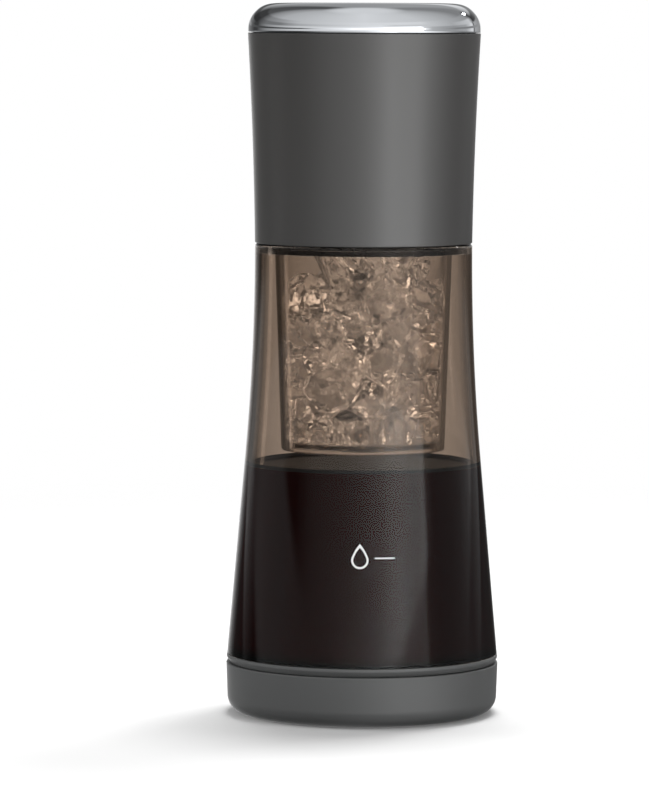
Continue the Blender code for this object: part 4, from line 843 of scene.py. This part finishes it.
floor_cloth = together([
    wires(np.stack([runs, across, level_x], -1), np.array([0, 1.0, 0]), upward, WIRE_HALF, False),
    wires(np.stack([across, runs, level_y], -1), np.array([1.0, 0, 0]), upward, WIRE_HALF, False)])
piece("floor_cloth_woven", floor_cloth, wire_steel, "basket", ["basket_floor_mesh"])

# Lid plug
# The stopper that closes the brew chamber and carries the cap: moulded polypropylene with a flange that
# rests on the head, and a silicone seal in a groove round it.
plug_low, plug_high, plug_reach = span("lid_plug")
lid_seal_low, lid_seal_high, lid_seal_radius = span("lid_seal")
ring_low, ring_high, ring_radius = span("shaft_ring")
PLUG_RADIUS, PLUG_BORE, PLUG_WALL, PLUG_WEB = 42.9, 7.3, 2.0, 2.0
PLUG_FLANGE, HUB_WALL, SEAL_BITE, RIB_BITE = 2.3, 3.6, 1.9, 0.2
STOP_RIB, STOP_FIN, STOP_SHARE, STOP_START, VENT_HOLE = 2.0, 2.4, 0.75, 0.36, 1.5
flange_low, web_high = plug_high - PLUG_FLANGE, plug_low + PLUG_WEB
groove, plug_hub = PLUG_RADIUS - SEAL_BITE, PLUG_BORE + HUB_WALL
cup_inner = groove - PLUG_WALL
plug_outline = rounded([
    (PLUG_BORE, plug_low), (PLUG_RADIUS, plug_low, 0.5), (PLUG_RADIUS, lid_seal_low - FIT_GAP),
    (groove, lid_seal_low - FIT_GAP), (groove, lid_seal_high + FIT_GAP),
    (PLUG_RADIUS, lid_seal_high + FIT_GAP),
    (PLUG_RADIUS, flange_low), (plug_reach, flange_low), (plug_reach, plug_high, 0.2),
    (cup_inner, plug_high),
    (cup_inner, web_high), (plug_hub, web_high), (plug_hub, plug_high, 0.2), (PLUG_BORE, plug_high),
    (PLUG_BORE, ring_high + FIT_GAP), (ring_radius + FIT_GAP, ring_high + FIT_GAP),
    (ring_radius + FIT_GAP, ring_low - FIT_GAP), (PLUG_BORE, ring_low - FIT_GAP),
])
stop_start = cup_inner * STOP_START + plug_hub * (1 - STOP_START)
stop_angle = math.asin(((STOP_FIN + STOP_RIB) / 2 + FIT_GAP) / stop_start)
stop_high = web_high + STOP_SHARE * (plug_high - web_high)
plug_parts = [turned(plug_outline)]
plug_parts += [prism(*bar(angle, plug_hub - RIB_BITE, cup_inner + RIB_BITE, STOP_RIB, web_high - RIB_BITE,
                          stop_high))
               for angle in (-stop_angle, math.radians(CAP_TURN) + stop_angle)]
plug_parts += [prism(*bar(angle, chamber_reach - KEY_LENGTH + FIT_GAP, chamber_reach - FIT_GAP, KEY_WIDTH,
                          chamber_high - KEY_DEPTH + FIT_GAP, flange_low + RIB_BITE))
               for angle in (0, math.pi)]
piece("lid_plug_moulded", together(plug_parts), polypropylene, "lid", ["lid_plug"],
      [(circle(VENT_HOLE, (0, -(plug_hub + cup_inner) / 2), 24), plug_low - OVERRUN, web_high + OVERRUN)])
lid_seal_middle = (lid_seal_low + lid_seal_high) / 2
lid_seal_outline = rounded([(groove + FIT_GAP, lid_seal_low), (PLUG_RADIUS - FIT_GAP, lid_seal_low),
                            (lid_seal_radius, lid_seal_middle, 0.3), (PLUG_RADIUS - FIT_GAP, lid_seal_high),
                            (groove + FIT_GAP, lid_seal_high)])
piece("lid_seal_moulded", turned(lid_seal_outline), silicone, "lid", ["lid_seal"])

# Hub, shaft and their small parts
# The hub inside the cap, the hexagonal steel shaft that turns the valve, the screw that holds it, the
# clip under the plug and the ring that seals the hub. The machined CAD shapes stay, each with its own
# finish.
for name, look in (("knob_hub", polypropylene), ("drive_shaft", steel), ("shaft_screw", steel),
                   ("hub_clip", steel), ("shaft_ring", silicone)):
    finish(name, look)

# Bright cap
# The round cap that is turned by hand: moulded ABS with mirror chrome plating. Its shoulder is one wide
# round fillet and its top is slightly domed.
# Bright chrome: a clean mirror with the faintest haze where the plating is thinner.
chrome, tree, shader = new_look("chrome_plated_abs", Base_Color=linear("#d3d6da"), Roughness=0.05,
                                Metallic=1.0)
mottled(tree, shader, 28.6, 3.0, 0.02, 0.04)
cap_low, cap_high, cap_reach = span("bright_cap")
CAP_WALL, CAP_ROUND, CAP_DOME, CAP_REBATE = 1.8, 11.4, 0.15, 1.5
CAP_FALL, CAP_LIP, CAP_INNER_ROUND = 0.6, 2.4, 8.7
brim, lip_high = cap_reach - CAP_ROUND - CAP_FALL, cap_low + CAP_LIP
dome = np.linspace(0, brim, 24)
cap_outline = rounded([
    *np.c_[dome, cap_high - CAP_DOME * (dome / brim) ** 2].tolist(),
    (cap_reach, cap_high - CAP_FALL, CAP_ROUND),
    (cap_reach, cap_low, 0.3), (cap_reach - CAP_WALL, cap_low), (cap_reach - CAP_WALL, lip_high),
    (cap_reach - CAP_WALL - CAP_REBATE, lip_high),
    (cap_reach - CAP_WALL - CAP_REBATE, cap_high - CAP_WALL - CAP_FALL, CAP_INNER_ROUND),
    (brim - CAP_WALL, cap_high - CAP_WALL - CAP_DOME), (0, cap_high - CAP_WALL),
])
piece("bright_cap_plated", turned(cap_outline), chrome, "knob", ["bright_cap"])

# Floor
# A white table top under the maker. It fades out further away, so that the white studio shows behind. It
# gives a little light of its own, more of it through the clear walls, so that it stays white by the shadow.
FLOOR_RADIUS, FADE_START, FADE_END, FLOOR_GLOW, ICE_GLOW = 1.2, 0.45, 1.1, 0.1, 0.8
table_top = mesh_object("floor", *prism(circle(FLOOR_RADIUS / MM, sides=128), -20.0, 0.0))
table_top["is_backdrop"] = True
table_top.visible_glossy = False
white_top, tree, shader = new_look("white_table", Base_Color=(0.5, 0.5, 0.5, 1), Roughness=0.9,
                                   Specular_IOR_Level=0.0, Emission_Color=(1, 1, 1, 1))
place = add_node(tree, "ShaderNodeTexCoord").outputs["Object"]
path = add_node(tree, "ShaderNodeLightPath")
glow = add_node(tree, "ShaderNodeMath", {"operation": "MULTIPLY"},
                {0: path.outputs["Is Camera Ray"], 1: FLOOR_GLOW})
glow = add_node(tree, "ShaderNodeMath", {"operation": "MULTIPLY_ADD"},
                {0: path.outputs["Is Transmission Ray"], 1: ICE_GLOW, 2: glow.outputs[0]})
tree.links.new(glow.outputs[0], shader.inputs["Emission Strength"])
away = add_node(tree, "ShaderNodeVectorMath", {"operation": "LENGTH"}, {0: place})
fade = add_node(tree, "ShaderNodeMapRange", {"interpolation_type": "SMOOTHSTEP"},
                {"Value": away.outputs["Value"], "From Min": FADE_START, "From Max": FADE_END})
gone = add_node(tree, "ShaderNodeBsdfTransparent")
mix = add_node(tree, "ShaderNodeMixShader", inputs={0: fade.outputs["Result"], 1: shader.outputs[0],
                                                    2: gone.outputs[0]})
tree.links.new(mix.outputs[0], tree.nodes["Material Output"].inputs["Surface"])
table_top.data.materials.append(white_top)

# Studio
# Rings of soft light round the maker, one above the other, and a ceiling. A large soft box stands to the
# front right, dark flags stand behind to either side, and the wall straight behind is white. The ramps hold
# each level as a share of the peak.
LIGHT_PEAK = 9.0
world = bpy.data.worlds.new("studio")
bpy.context.scene.world = world
world.use_nodes = True
tree = world.node_tree
background = tree.nodes["Background"]
direction = add_node(tree, "ShaderNodeTexCoord").outputs["Generated"]
parts = add_node(tree, "ShaderNodeSeparateXYZ", inputs={0: direction})
toward = add_node(tree, "ShaderNodeMath", {"operation": "MULTIPLY"}, {0: parts.outputs["Y"], 1: -1.0})
bearing = add_node(tree, "ShaderNodeMath", {"operation": "ARCTAN2"},
                   {0: parts.outputs["X"], 1: toward.outputs[0]})
turn = add_node(tree, "ShaderNodeMapRange", inputs={"Value": bearing.outputs[0], "From Min": -math.pi,
                                                    "From Max": math.pi})


def light_ring(stops):
    """Light by bearing, from the camera's side at 0 to the right: a ramp through (degrees, level)."""
    made = add_node(tree, "ShaderNodeValToRGB", inputs={"Fac": turn.outputs["Result"]})
    ramp = made.color_ramp.elements
    while len(ramp) < len(stops):
        ramp.new(0.5)
    for element, (degrees, _) in zip(ramp, stops):
        element.position = degrees / 360 + 0.5
    for element, (_, amount) in zip(ramp, stops):
        element.color = (amount / LIGHT_PEAK, amount / LIGHT_PEAK, amount / LIGHT_PEAK, 1)
    return made.outputs["Color"]


def raised(low, high):
    """0 below the lower elevation in degrees, 1 above the higher one, and a smooth step in between."""
    step = add_node(tree, "ShaderNodeMapRange", {"interpolation_type": "SMOOTHSTEP"},
                    {"Value": parts.outputs["Z"], "From Min": math.sin(math.radians(low)),
                     "From Max": math.sin(math.radians(high))})
    return step.outputs["Result"]


def blend(share, first, second):
    """Goes from the first level to the second by the share."""
    return add_node(tree, "ShaderNodeMix", {"data_type": "FLOAT"},
                    {0: share, 2: first, 3: second}).outputs[0]


below = light_ring((
    (-180, 2.0), (-165, 1.6), (-158, 1.0), (-152, 0.4), (-145, 0.35), (-138, 0.42), (-125, 0.2),
    (-108, 0.06), (-66, 0.06), (-56, 0.17), (-45, 0.34), (-35, 0.52), (-14, 0.72), (0, 0.95), (6, 1.15),
    (17, 1.6), (26, 2.2), (31, 2.2), (35, 1.6), (47, 1.65), (58, 1.85), (70, 1.35), (82, 0.92),
    (96, 0.45), (113, 0.22), (130, 0.26), (145, 0.26), (164, 0.4), (171, 1.0), (180, 2.0)))
side = light_ring((
    (-180, 1.0), (-165, 0.7), (-157, 0.4), (-148, 0.15), (-142, 0.05), (-108, 0.04), (-66, 0.05),
    (-56, 0.14), (-45, 0.28), (-35, 0.43), (-14, 0.58), (0, 0.8), (6, 1.0), (17, 1.45), (26, 2.0),
    (31, 1.95), (35, 1.35), (47, 1.4), (58, 1.6), (70, 1.15), (82, 0.8), (96, 0.42), (113, 0.2),
    (135, 0.08), (155, 0.04), (164, 0.06), (171, 0.25), (180, 0.6)))
low_front = light_ring((
    (-180, 0.5), (-171, 0.5), (-165, 0.18), (-157, 0.14), (-148, 0.05), (-137, 0.04), (-104, 0.03),
    (-66, 0.05), (-58, 0.15), (-51, 0.28), (-45, 0.36), (-30, 0.5), (-20, 0.6), (-10, 0.8), (0, 1.05),
    (8, 1.4), (17, 1.8), (26, 2.6), (34, 3.1), (40, 2.6), (50, 2.2), (58, 2.4), (60, 2.4), (63, 0.6),
    (70, 0.25), (104, 0.12), (130, 0.12), (145, 0.15), (164, 0.15), (171, 0.5)))
level = light_ring((
    (-180, 1.0), (-170, 1.0), (-165, 0.3), (-150, 0.15), (-141, 0.06), (-133, 0.06), (-112, 0.38),
    (-95, 0.56), (-70, 0.84), (-56, 0.9), (-35, 0.98), (-14, 1.13), (0, 1.25), (18, 1.5), (30, 2.4),
    (40, 2.8), (58, 2.8), (61, 0.95), (72, 0.6), (86, 0.48), (101, 0.42), (121, 0.5), (134, 0.95),
    (137.5, 0.8), (139, 0.06), (140, 0.06), (141.5, 0.5), (164, 0.3), (170, 1.0)))
middle = light_ring((
    (-180, 0.12), (-165, 0.12), (-154, 0.04), (-138, 0.04), (-118, 0.22), (-94, 0.26), (-70, 0.55),
    (0, 1.0), (17, 1.05), (30, 0.84), (62, 0.84), (72, 0.78), (100, 0.57), (134, 0.8), (143, 0.05),
    (152, 0.1), (166, 0.3), (180, 0.12)))
high = light_ring((
    (-180, 0.7), (-165, 0.4), (-154, 0.06), (-135, 0.06), (-118, 0.3), (-94, 0.45), (-70, 0.7),
    (0, 1.0), (38, 1.0), (60, 0.95), (72, 0.78), (100, 0.57), (134, 0.4), (143, 0.05), (152, 0.5),
    (166, 0.9), (180, 0.7)))
upper = light_ring((
    (-180, 0.42), (-165, 0.38), (-152, 0.1), (-135, 0.12), (-122, 0.38), (-101, 0.6), (0, 0.95),
    (60, 0.8), (108, 0.52), (130, 0.3), (145, 0.3), (160, 0.45), (180, 0.42)))
rings = blend(raised(9, 12), level, middle)
rings = blend(raised(17, 21), rings, high)
rings = blend(raised(27, 31), rings, upper)
rings = blend(raised(66, 82), rings, 0.9 / LIGHT_PEAK)
# What shiny pieces mirror: the table's shade from below, then the same rings, and a bright strip light just
# above the horizon.
shade = add_node(tree, "ShaderNodeMath", {"operation": "MULTIPLY"}, {0: below, 1: 0.3}).outputs[0]
strip = add_node(tree, "ShaderNodeMath", {"operation": "MULTIPLY"}, {0: low_front, 1: 2.5}).outputs[0]
mirrored = blend(raised(-26, -14), shade, below)
at_side = add_node(tree, "ShaderNodeMath", {"operation": "SUBTRACT"},
                   {0: raised(-7.6, -7.2), 1: raised(-2.7, -2.3)})
mirrored = blend(at_side.outputs[0], mirrored, side)
mirrored = blend(raised(-1.2, -0.6), mirrored, rings)
in_strip = add_node(tree, "ShaderNodeMath", {"operation": "SUBTRACT"},
                    {0: raised(2.2, 2.7), 1: raised(5.2, 5.8)})
mirrored = blend(in_strip.outputs[0], mirrored, strip)
# What is seen through clear walls and ice: the same rings, or where it is brighter a white room with tall
# windows from 10 degrees up. Matt surfaces behind a clear wall get the rings only.
room = light_ring((
    (-180, 0.0), (-150, 0.0), (-138, 0.4), (-125, 0.4), (-123, 5.0), (-118, 5.0), (-116, 0.4),
    (-90, 0.4), (-55, 0.5), (0, 0.6), (55, 0.5), (95, 0.4), (138, 0.4), (150, 0.0)))
windows = light_ring((
    (-180, 0.3), (-150, 0.3), (-125, 0.4), (-118, 6.0), (-104, 6.0), (-98, 0.4), (-78, 0.4), (-72, 9.0),
    (-50, 9.0), (-44, 0.4), (-22, 0.4), (-16, 9.0), (4, 9.0), (10, 0.4), (30, 0.4), (36, 9.0),
    (58, 9.0), (64, 0.4), (88, 0.4), (94, 7.0), (112, 7.0), (118, 0.4), (150, 0.3)))
room = blend(raised(8, 11), room, windows)
room = blend(raised(50, 60), room, 1.6 / LIGHT_PEAK)
plain = blend(raised(16, 27), level, high)
plain = blend(raised(33, 47), plain, 1.0 / LIGHT_PEAK)
through = add_node(tree, "ShaderNodeMath", {"operation": "MAXIMUM"}, {0: plain, 1: room})
path = add_node(tree, "ShaderNodeLightPath")
spread = add_node(tree, "ShaderNodeMath", {"operation": "MINIMUM"},
                  {0: path.outputs["Diffuse Depth"], 1: 1.0})
seen = blend(spread.outputs[0], through.outputs[0], rings)
lit = blend(path.outputs["Is Transmission Ray"], mirrored, seen)
lit = blend(path.outputs["Is Camera Ray"], lit, 1 / LIGHT_PEAK)
strength = add_node(tree, "ShaderNodeMath", {"operation": "MULTIPLY"}, {0: lit, 1: LIGHT_PEAK})
tree.links.new(strength.outputs[0], background.inputs["Strength"])
background.inputs["Color"].default_value = (1, 1, 1, 1)


def soft_box(name, bearing, elevation, distance, size, watts, in_mirrors, through_walls):
    """A square area lamp aimed at the middle of the maker, by bearing and elevation in degrees."""
    turn, rise = math.radians(bearing), math.radians(elevation)
    way = Vector((math.sin(turn) * math.cos(rise), -math.cos(turn) * math.cos(rise), math.sin(rise)))
    lamp = bpy.data.lights.new(name, "AREA")
    lamp.size, lamp.energy = size, watts
    made = bpy.data.objects.new(name, lamp)
    bpy.context.scene.collection.objects.link(made)
    made.location = Vector((0, 0, 0.16)) + way * distance
    made.rotation_mode = "QUATERNION"
    made.rotation_quaternion = way.to_track_quat("Z", "Y")
    made.visible_camera = False
    made.visible_glossy = in_mirrors
    made.visible_transmission = through_walls


soft_box("overhead_box", 142, 60, 1.6, 0.42, 13, False, True)
soft_box("ceiling_box", 170, 80, 1.6, 0.4, 32, False, True)
soft_box("low_left_box", -100, 4, 1.0, 0.3, 6, False, False)
soft_box("small_back_lamp", 140, 30.5, 1.6, 0.08, 1.0, True, True)

# Camera
# The photograph's viewpoint: a long lens 2.25 m in front, a little above the cap and tilted down.
camera_data = bpy.data.cameras.new("camera")
camera_data.lens = 231.28
camera_data.sensor_width = 36.0
camera = bpy.data.objects.new("camera", camera_data)
bpy.context.scene.collection.objects.link(camera)
camera.location = (0.0, -2.2502, 0.3134)
tilt, yaw, roll = math.radians(4.463), math.radians(0.43), math.radians(0.2)
aim = (Matrix.Rotation(yaw, 3, "Z") @ Matrix.Rotation(math.pi / 2 - tilt, 3, "X")
       @ Matrix.Rotation(roll, 3, "Z"))
camera.rotation_mode = "QUATERNION"
camera.rotation_quaternion = aim.to_quaternion()
scene = bpy.context.scene
scene.camera = camera
scene.view_settings.view_transform = "Standard"
# The ice sends light through many faces before it leaves again.
scene.cycles.max_bounces = 40
scene.cycles.transmission_bounces = 36
scene.cycles.glossy_bounces = 24
scene.cycles.transparent_max_bounces = 48

low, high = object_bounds()
